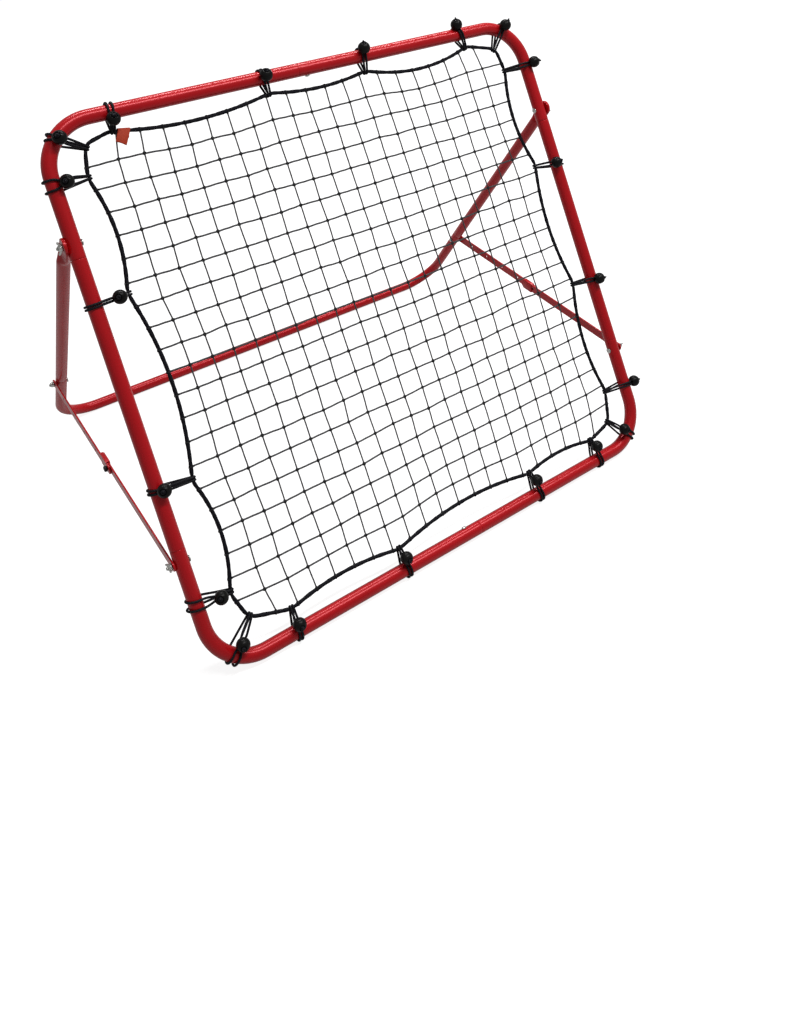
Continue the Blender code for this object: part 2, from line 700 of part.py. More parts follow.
route = rope_route()
bm = bmesh.new()
round_rope = section_round(ROPE_RADIUS, ROPE_SIDES)
swept(bm, closed_rings([Vector((p.x, 0, p.y)) for p in route], round_rope), BEHIND, closed=True)
add_object("border_rope", bm, ROPE, parent=frame_plane)


# Net: one flat grid whose outer strands follow the rope
def rope_at(value, axis, low_side):
    """The rope's other coordinate where it passes value, on the low or the high side."""
    other = 1 - axis
    found = []
    for k, start in enumerate(route):
        end = route[(k + 1) % len(route)]
        if (start[axis] - value) * (end[axis] - value) <= 0 and start[axis] != end[axis]:
            f = (value - start[axis]) / (end[axis] - start[axis])
            found.append(start[other] + f * (end[other] - start[other]))
    return min(found) if low_side else max(found)


def near_hook(value, axis):
    return min(abs(one["rope"][axis] - value) for one in hooks.values()) < HOOK_CLEAR


def inset_at(value, axis):
    return NET_INSET_AT_HOOK if near_hook(value, axis) else NET_INSET


net_left = hooks["bungee_corner_bottom_left"]["rope"].x + NET_FROM_CORNER
net_right = hooks["bungee_corner_bottom_right"]["rope"].x - NET_FROM_CORNER
net_low = hooks["bungee_corner_bottom_right"]["rope"].y + NET_FROM_CORNER
net_high = hooks["bungee_corner_top_left"]["rope"].y - NET_FROM_CORNER


def net_point(i, j):
    x = net_left + (net_right - net_left) * i / NET_CELLS
    up = net_low + (net_high - net_low) * j / NET_CELLS
    inside_across = 0 < i < NET_CELLS
    inside_up = 0 < j < NET_CELLS
    if inside_across and not inside_up:
        edge = rope_at(x, 0, j == 0)
        up = edge + inset_at(x, 0) * (1 if j == 0 else -1)
    if inside_up and not inside_across:
        edge = rope_at(up, 1, i == 0)
        x = edge + inset_at(up, 1) * (1 if i == 0 else -1)
    return x, up


def flat_net(bm):
    half = TWINE_HALF
    rows = {}
    for i in range(NET_CELLS + 1):
        for j in range(NET_CELLS + 1):
            x, up = net_point(i, j)
            for a in (0, 1):
                for b in (0, 1):
                    for face in (0, 1):
                        place = (x + (2 * a - 1) * half, (2 * face - 1) * half, up + (2 * b - 1) * half)
                        rows[2 * i + a, 2 * j + b, face] = bm.verts.new(place)
    last = 2 * NET_CELLS + 1
    for m in range(last):
        for n in range(last):
            hollow = m % 2 == 1 and n % 2 == 1
            corners = ((m, n), (m + 1, n), (m + 1, n + 1), (m, n + 1))
            if not hollow:
                for face in (0, 1):
                    bm.faces.new([rows[p, q, face] for p, q in corners])
            for k in range(4):
                (p, q), (r, s) = corners[k], corners[(k + 1) % 4]
                outside = (n == 0, m == last - 1, n == last - 1, m == 0)[k]
                wall = (rows[p, q, 0], rows[r, s, 0], rows[r, s, 1], rows[p, q, 1])
                if hollow:
                    bm.faces.new(wall)
                elif outside:
                    net_edge(bm, wall, k, m % 2 == 0 and n % 2 == 0 and 0 < (m, n)[k % 2] < last - 1)


def net_edge(bm, wall, k, crossing):
    """Closes the net's rim. At a crossing away from the hooks a short tie runs out to the rope."""
    axis = k % 2
    plain = (wall[0].co + wall[1].co) / 2
    value = plain.x if axis == 0 else plain.z
    if not crossing or near_hook(value, axis):
        bm.faces.new(wall)
        return
    outward = (-1, 1, 1, -1)[k]
    edge = rope_at(value, axis, outward < 0) - outward * (ROPE_RADIUS + NET_TIE_GAP)
    tips = []
    for vert in wall:
        place = vert.co.copy()
        place[2 if axis == 0 else 0] = edge
        tips.append(bm.verts.new(place))
    for a in range(4):
        b = (a + 1) % 4
        bm.faces.new((wall[a], wall[b], tips[b], tips[a]))
    bm.faces.new(tips)


bm = bmesh.new()
flat_net(bm)
add_object("net", bm, TWINE, parent=frame_plane)

# Tag: a strip folded round the rope, with its flap hanging in front of the net
tag_x = hooks["bungee_top_1"]["rope"].x + TAG_FROM_HOOK
tag_up = rope_at(tag_x, 0, False)
tag_ends = [rope_at(tag_x + way * TAG_SIZE / 2, 0, False) for way in (-1, 1)]
tag_slope = atan2(tag_ends[1] - tag_ends[0], TAG_SIZE)
loop_inner = ROPE_RADIUS + CORD_GAP
loop_outer = loop_inner + TAG_THICK
bm = bmesh.new()
profile = [(-TAG_SIZE / 2, loop_inner), (-TAG_SIZE / 2, loop_outer)]
profile += [(TAG_SIZE / 2, loop_outer), (TAG_SIZE / 2, loop_inner)]
lathe(bm, (1, 0, 0), profile, 12, closed=True)
tag_turn = (0, -tag_slope, 0)
tag = add_object("tag", bm, TAG_CLOTH, (tag_x, 0, tag_up), tag_turn, frame_plane)
bm = bmesh.new()
flap_front = -loop_outer * cos(pi / 12)
box(
    bm,
    (-TAG_SIZE / 2 + 0.0001, flap_front + 0.0001, -TAG_SIZE),
    (TAG_SIZE / 2 - 0.0001, flap_front + TAG_THICK * 0.8, 0),
)
flap = add_object("flap_tool", bm, TAG_CLOTH, (tag_x, 0, tag_up), tag_turn, frame_plane)
combine(tag, flap, "UNION")


# Bungees: a doubled cord in a loop round rope and tube, with its ball. The ball's profile is in
# shares of its radius, from the flat under it to the rim of its round mouth
BALL_PROFILE = [
    (-0.71, 0.56),
    (-0.51, 0.87),
    (0.00, 1.00),
    (0.51, 0.86),
    (0.87, 0.49),
    (0.87, 0.26),
    (0.66, 0.20),
]


def band_section():
    wide = BAND_WIDTH / 2
    thick = BAND_THICK / 2
    return [
        (0.0, wide),
        (-thick, wide * 0.55),
        (-thick, -wide * 0.55),
        (0.0, -wide),
        (thick, -wide * 0.55),
        (thick, wide * 0.55),
    ]


def bungee(name, one):
    """Local axes: x out over the tube, y along it, z to the front."""
    span = one["tube"] - one["rope"]
    reach = span.length
    out = span.normalized()
    square = Vector((round(out.x), round(out.y))) if "corner" not in name else out
    slant = acos(min(1.0, out.dot(square)))
    step = (pi + 2 * asin(0.3)) / TUBE_WRAP_STEPS
    on_tube = TUBE_RADIUS + GAP + BAND_THICK / 2 + BAND_WIDTH / 2 * sin(slant)
    on_tube = on_tube / cos(slant) / cos(step / 2)
    on_rope = (ROPE_RADIUS + CORD_GAP + BAND_THICK / 2) / cos(radians(25))
    lift = asin((on_tube - on_rope) / reach)
    turn_end = pi / 2 + lift
    points = []
    for k in range(TUBE_WRAP_STEPS + 1):
        a = turn_end - 2 * turn_end * k / TUBE_WRAP_STEPS
        points.append(Vector((on_tube * cos(a), 0, on_tube * sin(a))))
    for k in range(ROPE_WRAP_STEPS + 1):
        a = -turn_end - (2 * pi - 2 * turn_end) * k / ROPE_WRAP_STEPS
        points.append(Vector((on_rope * cos(a) - reach, 0, on_rope * sin(a))))
    bm = bmesh.new()
    swept(bm, closed_rings(points, band_section()), (0, 1, 0), closed=True)
    across = Vector((out.x, 0, out.y))
    front = Vector((0, -1, 0))
    turn = Matrix((across, front.cross(across), front)).transposed().to_euler()
    place = (one["tube"].x, 0, one["tube"].y)
    band = add_object(name, bm, BALL_PLASTIC, place, turn, frame_plane)

    shell = on_tube + BALL_SEAT
    ball_out = one["ball"]
    if ball_out > shell * cos(turn_end):
        a = acos(min(1.0, ball_out / shell))
        middle = Vector((shell * cos(a), 0, shell * sin(a)))
        outward = middle.normalized()
    else:
        rise = (shell - ball_out * cos(turn_end)) / sin(turn_end)
        middle = Vector((ball_out, 0, rise))
        outward = Vector((cos(turn_end), 0, sin(turn_end)))
    profile = []
    for along, wide in BALL_PROFILE:
        profile.append((BALL_RADIUS * along, BALL_RADIUS * wide))
    bm = bmesh.new()
    lathe(bm, outward, profile, BALL_SIDES, middle)
    ball = add_object("ball_tool", bm, BALL_PLASTIC, place, turn, frame_plane)
    combine(band, ball, "UNION")
    return band


for name, one in hooks.items():
    made = bungee(name, one)
    if name.startswith("bungee_bottom"):
        bm = bmesh.new()
        box(bm, (-1, -1, -0.1), (1, 1, 0))
        combine(made, add_object("floor_tool", bm, BALL_PLASTIC), "DIFFERENCE")

# The origin goes to the middle of the bounding box, on the floor
bpy.context.view_layer.update()
corners = [
    made.matrix_world @ vert.co
    for made in bpy.data.objects
    if made.type == "MESH"
    for vert in made.data.vertices
]
middle_x = (min(c.x for c in corners) + max(c.x for c in corners)) / 2
middle_y = (min(c.y for c in corners) + max(c.y for c in corners)) / 2
lowest = min(c.z for c in corners)
for made in bpy.data.objects:
    if made.parent is None:
        made.location -= Vector((middle_x, middle_y, lowest))
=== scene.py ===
"""Rebound net, dressed: smooth tubes, braces and fasteners, a knotted net, a braided rope and bungees.

Metres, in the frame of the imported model. The net's front faces -Y and the stand is behind it.
"""

from math import acos, asin, atan2, cos, pi, radians, sin, sqrt

import bpy
import numpy as np
from mathutils import Matrix, Vector


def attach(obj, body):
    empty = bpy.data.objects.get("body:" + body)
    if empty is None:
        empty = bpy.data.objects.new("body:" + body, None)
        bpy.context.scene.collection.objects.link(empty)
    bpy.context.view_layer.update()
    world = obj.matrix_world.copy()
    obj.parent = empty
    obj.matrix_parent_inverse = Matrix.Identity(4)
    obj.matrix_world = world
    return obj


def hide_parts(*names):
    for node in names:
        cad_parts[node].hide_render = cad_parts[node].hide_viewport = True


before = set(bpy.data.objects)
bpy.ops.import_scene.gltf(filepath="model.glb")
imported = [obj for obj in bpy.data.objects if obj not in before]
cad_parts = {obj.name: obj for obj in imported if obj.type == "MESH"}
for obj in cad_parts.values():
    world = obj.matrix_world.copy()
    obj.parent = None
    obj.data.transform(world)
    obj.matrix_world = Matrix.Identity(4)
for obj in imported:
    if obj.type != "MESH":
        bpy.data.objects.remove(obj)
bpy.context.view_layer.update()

# Sizes, as in the solids
FRAME_WIDTH = 0.975
FRAME_HEIGHT = 0.910
TUBE_RADIUS = 0.0125
TUBE_WALL = 0.0015
FRAME_BEND = 0.083
LEAN = radians(31.85)
UPPER_SEAM = 0.698
LOWER_SEAM = 0.2157
TOP_SEAM_X = -0.025
BOTTOM_SEAM_X = 0.045
PIVOT_UP = 0.722
ARM_LENGTH = 0.7324
STAND_RADIUS = 0.011
STAND_WALL = 0.0013
STAND_BEND = 0.085
EAR_THICK = 0.005
EAR_RADIUS = 0.015
EAR_FLAT = 0.020
EAR_END = 0.042
ARM_SEAM = 0.508
FOOT_SEAM_X = -0.0225
SCREW_FROM_SEAM = 0.0184
BOTTOM_SCREW_FROM_SEAM = 0.0304
BRACE_REACH = 0.528
BAR_WIDTH = 0.018
BAR_THICK = 0.003
BRACE_GAP = 0.0005
UPPER_BAR_LENGTH = 0.302
LOWER_BAR_LENGTH = 0.3083
HOLE_FIRST = 0.0566
HOLE_PITCH = 0.0585
HOLE_COUNT = 5
HOLE_RADIUS = 0.0028
CLIP_LENGTH = 0.028
CLIP_WALL = 0.0016
CLIP_SLACK = 0.0006
KNOB_RADIUS = 0.0055
KNOB_HEIGHT = 0.0055
BOLT_RADIUS = 0.003
BOLT_HEAD_RADIUS = 0.0054
BOLT_HEAD_HEIGHT = 0.0020
BOLT_TIP = 0.003
NUT_HEIGHT = 0.0062
NUT_BASE_RADIUS = 0.0056
NUT_TOP_RADIUS = 0.0045
WING_REACH = 0.0115
WING_RISE = 0.0070
WING_THICK = 0.0022
SCREW_HEAD_RADIUS = 0.0046
SCREW_HEAD_HEIGHT = 0.0022
ROPE_RADIUS = 0.0034
HOOK_STRAIGHT = 0.007
BALL_RADIUS = 0.0117
GAP = 0.0003

# Sizes that only the scene has
SQUEEZED = 0.5  # share of the rope's thickness that is left inside a bungee's loop
ROPE_STEP = 0.0012
CORD_RADIUS = 0.00205
CORDS_AT_BALL = 0.0024  # half the distance between a bungee's two cords
CORDS_AT_ROPE = 0.00235
TUBE_SIDES = 48
TUBE_RIM = 0.0007
RIM_START = 0.004
JOINT_DEPTH = 0.012  # how deep a socket's bore and how long a spigot is drawn
PATH_STEP = 0.03
BOLT_HOLE = 0.0033
BOLT_CHAMFER = 0.0007
THREAD_TURNS = 12
THREAD_LENGTH = 0.011
THREAD_DEPTH = 0.00035
PIN_RADIUS = 0.0022
CLIP_BEND = 0.0012
NET_STRANDS = 20
NET_X = (-0.3700, 0.3700)  # where the first and the last strand start
NET_UP = (0.0950, 0.8330)
TWINE_RADIUS = 0.0013
TWINE_LAY = 0.0075
TWINE_STEP = 0.0022
KNOT_SIZE = 0.0021
KNOT_TWINE = 0.0016
TIE_TURN = 3 * pi
TIE_WIDTH = 0.0026
TIE_TWINE = 0.0008
TIE_KNOT_SIZE = 0.0012
TIE_KNOT_TWINE = 0.0009
BRAID_PITCH = 0.021
TAG_WIDTH = 0.020
TAG_FRONT = 0.0215
TAG_BACK = 0.011
MIRRORED_WHITE = 0.28  # how much of the white surroundings the object mirrors
FLOOR_GLOW = 0.88
WORLD_LIGHT = 0.15
SIDES = ((1, "right"), (-1, "left"))

# Places found from the sizes
HALF_WIDTH = FRAME_WIDTH / 2
STAND_FLAT = STAND_RADIUS * cos(pi / 14)
BOTTOM_TUBE_Z = 0.01685
PLANE_Y = -0.381047
PIVOT_Y = PLANE_Y + PIVOT_UP * sin(LEAN)
PIVOT_Z = BOTTOM_TUBE_Z + PIVOT_UP * cos(LEAN)
ARM_ANGLE = acos((PIVOT_Z - STAND_FLAT) / ARM_LENGTH)
ARM_X = HALF_WIDTH + TUBE_RADIUS + GAP + EAR_THICK / 2
UPPER_BAR_X = ARM_X + STAND_RADIUS + BRACE_GAP + BAR_THICK / 2
LOWER_BAR_X = HALF_WIDTH + TUBE_RADIUS + BRACE_GAP + BAR_THICK / 2
BAR_STEP = BAR_THICK + BRACE_GAP
BRACE_FOOT_UP = PIVOT_UP - BRACE_REACH
INNER_ENDS = HALF_WIDTH - FRAME_BEND
MIDDLE_UP = FRAME_HEIGHT / 2
HALF_STRAIGHT_UP = MIDDLE_UP - FRAME_BEND
PIN_AT = HOLE_FIRST + (HOLE_COUNT - 1) * HOLE_PITCH
M_FRAME = Matrix.Translation((0, PLANE_Y, BOTTOM_TUBE_Z)) @ Matrix.Rotation(-LEAN, 4, "X")
M_STAND = Matrix.Translation((0, PIVOT_Y, PIVOT_Z)) @ Matrix.Rotation(ARM_ANGLE, 4, "X")

# Rope hooks. Along a side they are shares of its straight half, counted from its middle to the
# right or up: on the rope, then on the tube. Then the rope's distance in from the tube's middle,
# its sag to the next hook, how far out the ball sits, and half the spread of the two cords
TOP_HOOKS = [
    (-0.92250, -0.91300, 0.0315, 0.0130, -0.015, 0.0042),
    (-0.22744, -0.23450, 0.0301, 0.0090, 0.000, 0.0030),
    (0.27600, 0.27812, 0.0301, 0.0175, 0.010, 0.0034),
    (0.86400, 0.84600, 0.0288, 0.0000, 0.018, 0.0030),
]
RIGHT_HOOKS = [
    (0.97500, 0.97600, 0.0571, 0.0165, 0.007, 0.0036),
    (0.42050, 0.40300, 0.0549, 0.0145, -0.014, 0.0046),
    (-0.26900, -0.28490, 0.0520, 0.0165, 0.002, 0.0034),
    (-0.90188, -0.91129, 0.0549, 0.0000, 0.020, 0.0028),
]
BOTTOM_HOOKS = [
    (0.88405, 0.88900, 0.0433, 0.0090, -0.031, 0.0034),
    (0.47200, 0.48400, 0.0454, 0.0175, -0.031, 0.0030),
    (-0.30507, -0.30160, 0.0399, 0.0115, -0.024, 0.0030),
    (-0.84800, -0.85450, 0.0399, 0.0000, -0.016, 0.0028),
]
LEFT_HOOKS = [
    (-0.91478, -0.89247, 0.0581, 0.0155, -0.038, 0.0070),
    (-0.39355, -0.37640, 0.0581, 0.0185, -0.006, 0.0032),
    (0.45250, 0.44700, 0.0559, 0.0135, -0.038, 0.0024),
    (0.97180, 0.97300, 0.0544, 0.0000, -0.017, 0.0086),
]
# Corner hooks: the rope's distances out from the bend's centre, sideways and up or down, as shares
# of the bend's radius, the angle of the wrap round the bend, ball and spread as above
CORNER_HOOKS = {
    "top_right": (0.18072, 0.44819, radians(60), 0.007, 0.0034),
    "bottom_right": (0.11928, 0.27349, radians(-53), -0.025, 0.0050),
    "bottom_left": (0.09880, 0.23253, radians(-129), -0.021, 0.0062),
    "top_left": (0.21205, 0.43253, radians(135), -0.003, 0.0050),
}

random = np.random.default_rng(7)


def add_object(name, data):
    made = bpy.data.objects.new(name, data)
    bpy.context.scene.collection.objects.link(made)
    return made


# Camera, fitted to the photo
PHOTO_WIDTH = 791
PHOTO_HEIGHT = 1024
SENSOR = 36.0
CAMERA_YAW = 0.6091
CAMERA_PITCH = 0.525
CAMERA_ROLL = -0.003
CAMERA_PLACE = (-0.7734, -1.28325, 1.33195)
CAMERA_FOCAL = 904.4
CAMERA_CENTER = (395.5, 245.0)

ahead = Vector((sin(CAMERA_YAW) * cos(CAMERA_PITCH), cos(CAMERA_YAW) * cos(CAMERA_PITCH), -sin(CAMERA_PITCH)))
right = Vector((cos(CAMERA_YAW), -sin(CAMERA_YAW), 0))
above = right.cross(ahead)
right, above = (
    right * cos(CAMERA_ROLL) + above * sin(CAMERA_ROLL),
    above * cos(CAMERA_ROLL) - right * sin(CAMERA_ROLL),
)
lens = bpy.data.cameras.new("camera")
lens.sensor_width = SENSOR
lens.lens = CAMERA_FOCAL / PHOTO_HEIGHT * SENSOR
lens.shift_x = (PHOTO_WIDTH / 2 - CAMERA_CENTER[0]) / PHOTO_HEIGHT
lens.shift_y = -(PHOTO_HEIGHT / 2 - CAMERA_CENTER[1]) / PHOTO_HEIGHT
lens.clip_start = 0.05
lens.clip_end = 60
camera = add_object("camera", lens)
turn = Matrix((right, above, -ahead)).transposed().to_4x4()
camera.matrix_world = Matrix.Translation(CAMERA_PLACE) @ turn
bpy.context.scene.camera = camera


# Materials
def math_node(tree, operation, *values):
    """A math node on numbers and sockets. Gives the socket of its result."""
    made = tree.nodes.new("ShaderNodeMath")
    made.operation = operation
    for slot, value in zip(made.inputs, values):
        if isinstance(value, (int, float)):
            slot.default_value = value
        else:
            tree.links.new(value, slot)
    return made.outputs[0]


class Paint:
    """A node material with a Principled shader; small helpers keep the wiring short."""

    def __init__(self, name, color, roughness, metallic=0.0, specular=0.5, tint=(1, 1, 1, 1)):
        self.made = bpy.data.materials.new(name)
        self.made.use_nodes = True
        self.tree = self.made.node_tree
        self.shader = self.tree.nodes["Principled BSDF"]
        values = {"Base Color": (*color, 1), "Roughness": roughness, "Metallic": metallic}
        values |= {"Specular IOR Level": specular, "Specular Tint": tint}
        for key, value in values.items():
            self.shader.inputs[key].default_value = value
        self.coords = self.tree.nodes.new("ShaderNodeTexCoord").outputs

    def node(self, kind, **inputs):
        made = self.tree.nodes.new(kind)
        for key, value in inputs.items():
            made.inputs[key].default_value = value
        return made

    def link(self, source, target):
        self.tree.links.new(source, target)

    def noise(self, scale, detail):
        made = self.node("ShaderNodeTexNoise", Scale=scale, Detail=detail)
        self.link(self.coords["Object"], made.inputs["Vector"])
        return made.outputs["Fac"]

    def wave(self, scale, degrees, distortion=0.0):
        """Waves over the UV map, turned by so many degrees."""
        mapping = self.node("ShaderNodeMapping", Rotation=(0, 0, radians(degrees)))
        self.link(self.coords["UV"], mapping.inputs["Vector"])
        made = self.node("ShaderNodeTexWave", Scale=scale, Distortion=distortion)
        self.link(mapping.outputs["Vector"], made.inputs["Vector"])
        return made.outputs["Fac"]

    def between(self, factor, low, high, target="Base Color"):
        """Runs a factor of 0 to 1 into a socket as a number or colour from low to high."""
        ramp = self.node("ShaderNodeValToRGB")
        spread = ramp.color_ramp.elements
        for stop, value in zip(spread, (low, high)):
            stop.color = (*value, 1) if hasattr(value, "__len__") else (value, value, value, 1)
        spread[0].position = 0.25
        spread[1].position = 0.75
        self.link(factor, ramp.inputs["Fac"])
        self.link(ramp.outputs["Color"], self.shader.inputs[target])

    def rough(self, scale, detail, low, high):
        self.between(self.noise(scale, detail), low, high, "Roughness")

    def bumped(self, height, strength, distance):
        """The material, with a bump for its last touch."""
        made = self.node("ShaderNodeBump", Strength=strength, Distance=distance)
        self.link(height, made.inputs["Height"])
        self.link(made.outputs["Normal"], self.shader.inputs["Normal"])
        return self.made


def red_paint():
    paint = Paint("red_powder_coat", (0.53, 0.010, 0.013), 0.27, specular=0.9, tint=(1.0, 0.27, 0.30, 1))
    paint.between(paint.noise(9, 4), (0.50, 0.005, 0.008), (0.57, 0.007, 0.012))
    paint.rough(60, 3, 0.26, 0.29)
    return paint.bumped(paint.noise(30, 2), 0.01, 0.0002)


def zinc_metal():
    paint = Paint("zinc_plated_steel", (0.55, 0.55, 0.53), 0.25, 1.0)
    paint.between(paint.noise(240, 3), (0.44, 0.44, 0.42), (0.64, 0.63, 0.60))
    paint.rough(500, 4, 0.16, 0.36)
    return paint.bumped(paint.noise(1500, 3), 0.15, 0.0002)


def ball_plastic():
    paint = Paint("black_ball_plastic", (0.007, 0.007, 0.007), 0.30, specular=0.12)
    paint.between(paint.noise(60, 4), 0.004, 0.010)
    paint.rough(300, 4, 0.24, 0.36)
    return paint.bumped(paint.noise(1300, 3), 0.25, 0.0002)


def knob_plastic():
    paint = Paint("black_knob_plastic", (0.012, 0.012, 0.013), 0.46, specular=0.20)
    paint.between(paint.noise(90, 4), (0.009, 0.009, 0.010), (0.017, 0.017, 0.018))
    paint.rough(500, 4, 0.40, 0.55)
    return paint.bumped(paint.noise(1600, 3), 0.25, 0.0002)


def elastic_cord():
    """A woven sheath: fine ribs that cross both ways round the cord, its colour darker between the ribs, where the
    bump is low: painted shade.
    """
    paint = Paint("black_elastic_cord", (0.007, 0.007, 0.009), 0.6, specular=0.12)
    weave = math_node(paint.tree, "MAXIMUM", paint.wave(95, 38), paint.wave(95, -38))
    paint.between(weave, (0.004, 0.004, 0.005), (0.013, 0.013, 0.017))
    paint.rough(400, 3, 0.50, 0.70)
    return paint.bumped(weave, 0.5, 0.0003)


def net_twine(name, low, high):
    """Twisted yarn: fine fibres that run slantwise round each strand, darker in the grooves between them, where the
    bump is low: painted shade.
    """
    paint = Paint(name, high, 0.5, specular=0.25)
    fibres = paint.wave(160, 24, distortion=1.5)
    paint.between(fibres, low, high)
    paint.rough(500, 3, 0.45, 0.65)
    return paint.bumped(fibres, 0.5, 0.0002)


def braided_rope():
    """Yarns in each braided strand, with dull and bright patches along it, darker wherever the bump is low: painted
    shade in the braid's grooves and dips.
    """
    paint = Paint("black_braided_rope", (0.008, 0.008, 0.011), 0.62, specular=0.12)
    yarns = math_node(paint.tree, "MULTIPLY", paint.wave(190, 20, distortion=1.0), paint.noise(900, 2))
    paint.between(yarns, (0.004, 0.004, 0.007), (0.018, 0.018, 0.026))
    paint.rough(350, 3, 0.50, 0.75)
    return paint.bumped(yarns, 0.6, 0.0004)


def tag_cloth():
    """Ribbon: a fine twill, a little darker between its threads, where the bump is low: painted shade."""
    paint = Paint("red_tag_cloth", (0.60, 0.075, 0.030), 0.62, specular=0.2)
    twill = math_node(paint.tree, "MULTIPLY", paint.wave(330, 35), paint.wave(330, -80))
    paint.between(twill, (0.52, 0.052, 0.024), (0.68, 0.100, 0.042))
    paint.rough(300, 3, 0.55, 0.70)
    return paint.bumped(twill, 0.4, 0.0002)


# Each look is a paint and the slot of the solid that it goes on
RED = red_paint(), "red_powder_coat"
ZINC = zinc_metal(), "zinc_plated_steel"
BALL = ball_plastic(), "black_ball_plastic"
KNOB = knob_plastic(), "black_knob_plastic"
CORD = elastic_cord(), "black_ball_plastic"
# The strands' twine is painted a lighter grey than the black twine really is, standing in for its lit sheen: a
# painted highlight. The knots keep the twine's own near-black.
TWINE = net_twine("black_net_twine", (0.030, 0.030, 0.032), (0.110, 0.110, 0.115)), "black_net_twine"
KNOTS = net_twine("black_net_knots", (0.006, 0.006, 0.007), (0.018, 0.018, 0.020)), "black_net_twine"
ROPE = braided_rope(), "black_braided_rope"
TAG = tag_cloth(), "red_tag_cloth"


# Mesh building
class Shape:
    """Grids of points gathered into one mesh, with a UV map in metres."""

    def __init__(self):
        self.points = []
        self.quads = []
        self.uvs = []
        self.fans = []  # end caps, as rings of points
        self.count = 0

    def grid(self, points, along, around, close_along=False, close_around=True):
        """points is rows by columns by 3; along and around give the UV of each row and column."""
        rows, columns = points.shape[:2]
        spans = (rows - (not close_along), columns - (not close_around))
        i, j = (k.ravel() for k in np.indices(spans))
        corners = [(i, j), (i, j + 1), (i + 1, j + 1), (i + 1, j)]
        self.points.append(points.reshape(-1, 3))
        self.quads.append(self.count + np.stack([a % rows * columns + b % columns for a, b in corners], 1))
        self.uvs.append(np.stack([np.stack([along[a], around[b]], 1) for a, b in corners], 1))
        first = np.arange(self.count, self.count + columns)
        self.count += rows * columns
        return first, first + (rows - 1) * columns

    def mesh(self, name, matrix):
        points = np.concatenate(self.points)
        turned = points @ np.array(matrix.to_3x3()).T + np.array(matrix.translation)
        quads = np.concatenate(self.quads)
        made = bpy.data.meshes.new(name)
        made.vertices.add(len(turned))
        made.vertices.foreach_set("co", turned.ravel())
        loops = np.concatenate([quads.ravel()] + self.fans).astype(np.int32)
        sizes = [4] * len(quads) + [len(fan) for fan in self.fans]
        starts = np.concatenate([[0], np.cumsum(sizes)[:-1]]).astype(np.int32)
        made.loops.add(len(loops))
        made.loops.foreach_set("vertex_index", loops)
        made.polygons.add(len(sizes))
        made.polygons.foreach_set("loop_start", starts)
        made.update(calc_edges=True)
        layer = made.uv_layers.new(name="UVMap")
        flat = np.concatenate([u.reshape(-1, 2) for u in self.uvs])
        rest = np.zeros((len(loops) - len(flat), 2))
        layer.data.foreach_set("uv", np.concatenate([flat, rest]).ravel())
        made.shade_smooth()
        made.validate()
        made.update()
        return made


def place(node, kind, look, mesh, body="net_frame", sharp=None):
    """Adds one piece: the body it rides on and the solid it stands for; that solid's slot, in look, is not used."""
    paint, slot = look
    if sharp is not None:
        mesh.set_sharp_from_angle(angle=radians(sharp))
    mesh.materials.append(paint)
    made = add_object(node + "_" + kind, mesh)
    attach(made, body)
    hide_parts(node)
    return made


def unit(v):
    return v / np.linalg.norm(v)


def run(start, end, count):
    """The points of a straight run in count equal steps, both ends included."""
    return [start + (end - start) * k / count for k in range(count + 1)]


def lengths(path, closed=False):
    """How far along the path each point lies, and after them the whole length of a closed path."""
    if closed:
        path = np.vstack([path, path[:1]])
    return np.concatenate([[0], np.cumsum(np.linalg.norm(np.diff(path, axis=0), axis=1))])


def headings(path, closed=False):
    if closed:
        way = np.roll(path, -1, axis=0) - np.roll(path, 1, axis=0)
    else:
        way = np.gradient(path, axis=0)
    return way / np.linalg.norm(way, axis=1)[:, None]


def frames(path, normal, closed=False):
    """Two axes across the path at each point, turned as little as possible from one to the next."""
    way = headings(path, closed)
    side = np.zeros_like(way)
    current = np.asarray(normal, float)
    for k, t in enumerate(way):
        current = unit(current - t * current.dot(t))
        side[k] = current
    return side, np.cross(way, side)


def turns(sides):
    return 2 * pi * np.arange(sides) / sides


def girth(radius, sides):
    """How far round each column of a ring lies, for its UV."""
    return 2 * pi * radius * np.arange(sides + 1) / sides


def rings(middles, one, two, radii, sides):
    """A ring of points round each middle, in the plane of the axes one and two."""
    across, along = ((radii * share(turns(sides)))[..., None] for share in (np.cos, np.sin))
    return middles[:, None, :] + one[..., None, :] * across + two[..., None, :] * along


def add_tube(shape, path, radii, sides, normal, closed=False, lobes=None):
    """A tube round the path. radii is one number or one per point; lobes varies it by place and angle."""
    along = lengths(path, closed)
    around = girth(float(np.mean(radii)), sides)
    radii = np.broadcast_to(np.asarray(radii, float), (len(path),))[:, None]
    if lobes is not None:
        radii = radii * lobes(along[: len(path), None], turns(sides))
    points = rings(path, *frames(path, normal, closed), radii, sides)
    first, last = shape.grid(points, along, around, close_along=closed)
    if not closed:
        shape.fans += [first[::-1], last]


def add_lathe(shape, axis, profile, sides, radial=None):
    """Turns a profile of (distance along, radius) about an axis. radial varies it by angle."""
    axis = np.array(Vector(axis).normalized())
    one = unit(np.array([0.0, 1.0, 0.0]) - axis * axis[1])
    profile = np.asarray(profile, float)
    radii = profile[:, 1:]
    if radial is not None:
        radii = radii * radial(profile[:, :1], turns(sides))
    points = rings(profile[:, :1] * axis, one, np.cross(axis, one), radii, sides)
    shape.grid(points, lengths(profile), girth(max(profile[:, 1]), sides))


def fillet(corners, radius):
    """Rounds the inner corners of a lathe profile."""
    corners = [np.array(c, float) for c in corners]
    made = [corners[0]]
    for before, here, after in zip(corners, corners[1:], corners[2:]):
        one = before - here
        two = after - here
        reach = min(radius, np.linalg.norm(one) * 0.45, np.linalg.norm(two) * 0.45)
        start = here + unit(one) * reach
        end = here + unit(two) * reach
        for f in np.linspace(0, 1, 4):
            made.append((1 - f) ** 2 * start + 2 * f * (1 - f) * here + f * f * end)
    made.append(corners[-1])
    return made


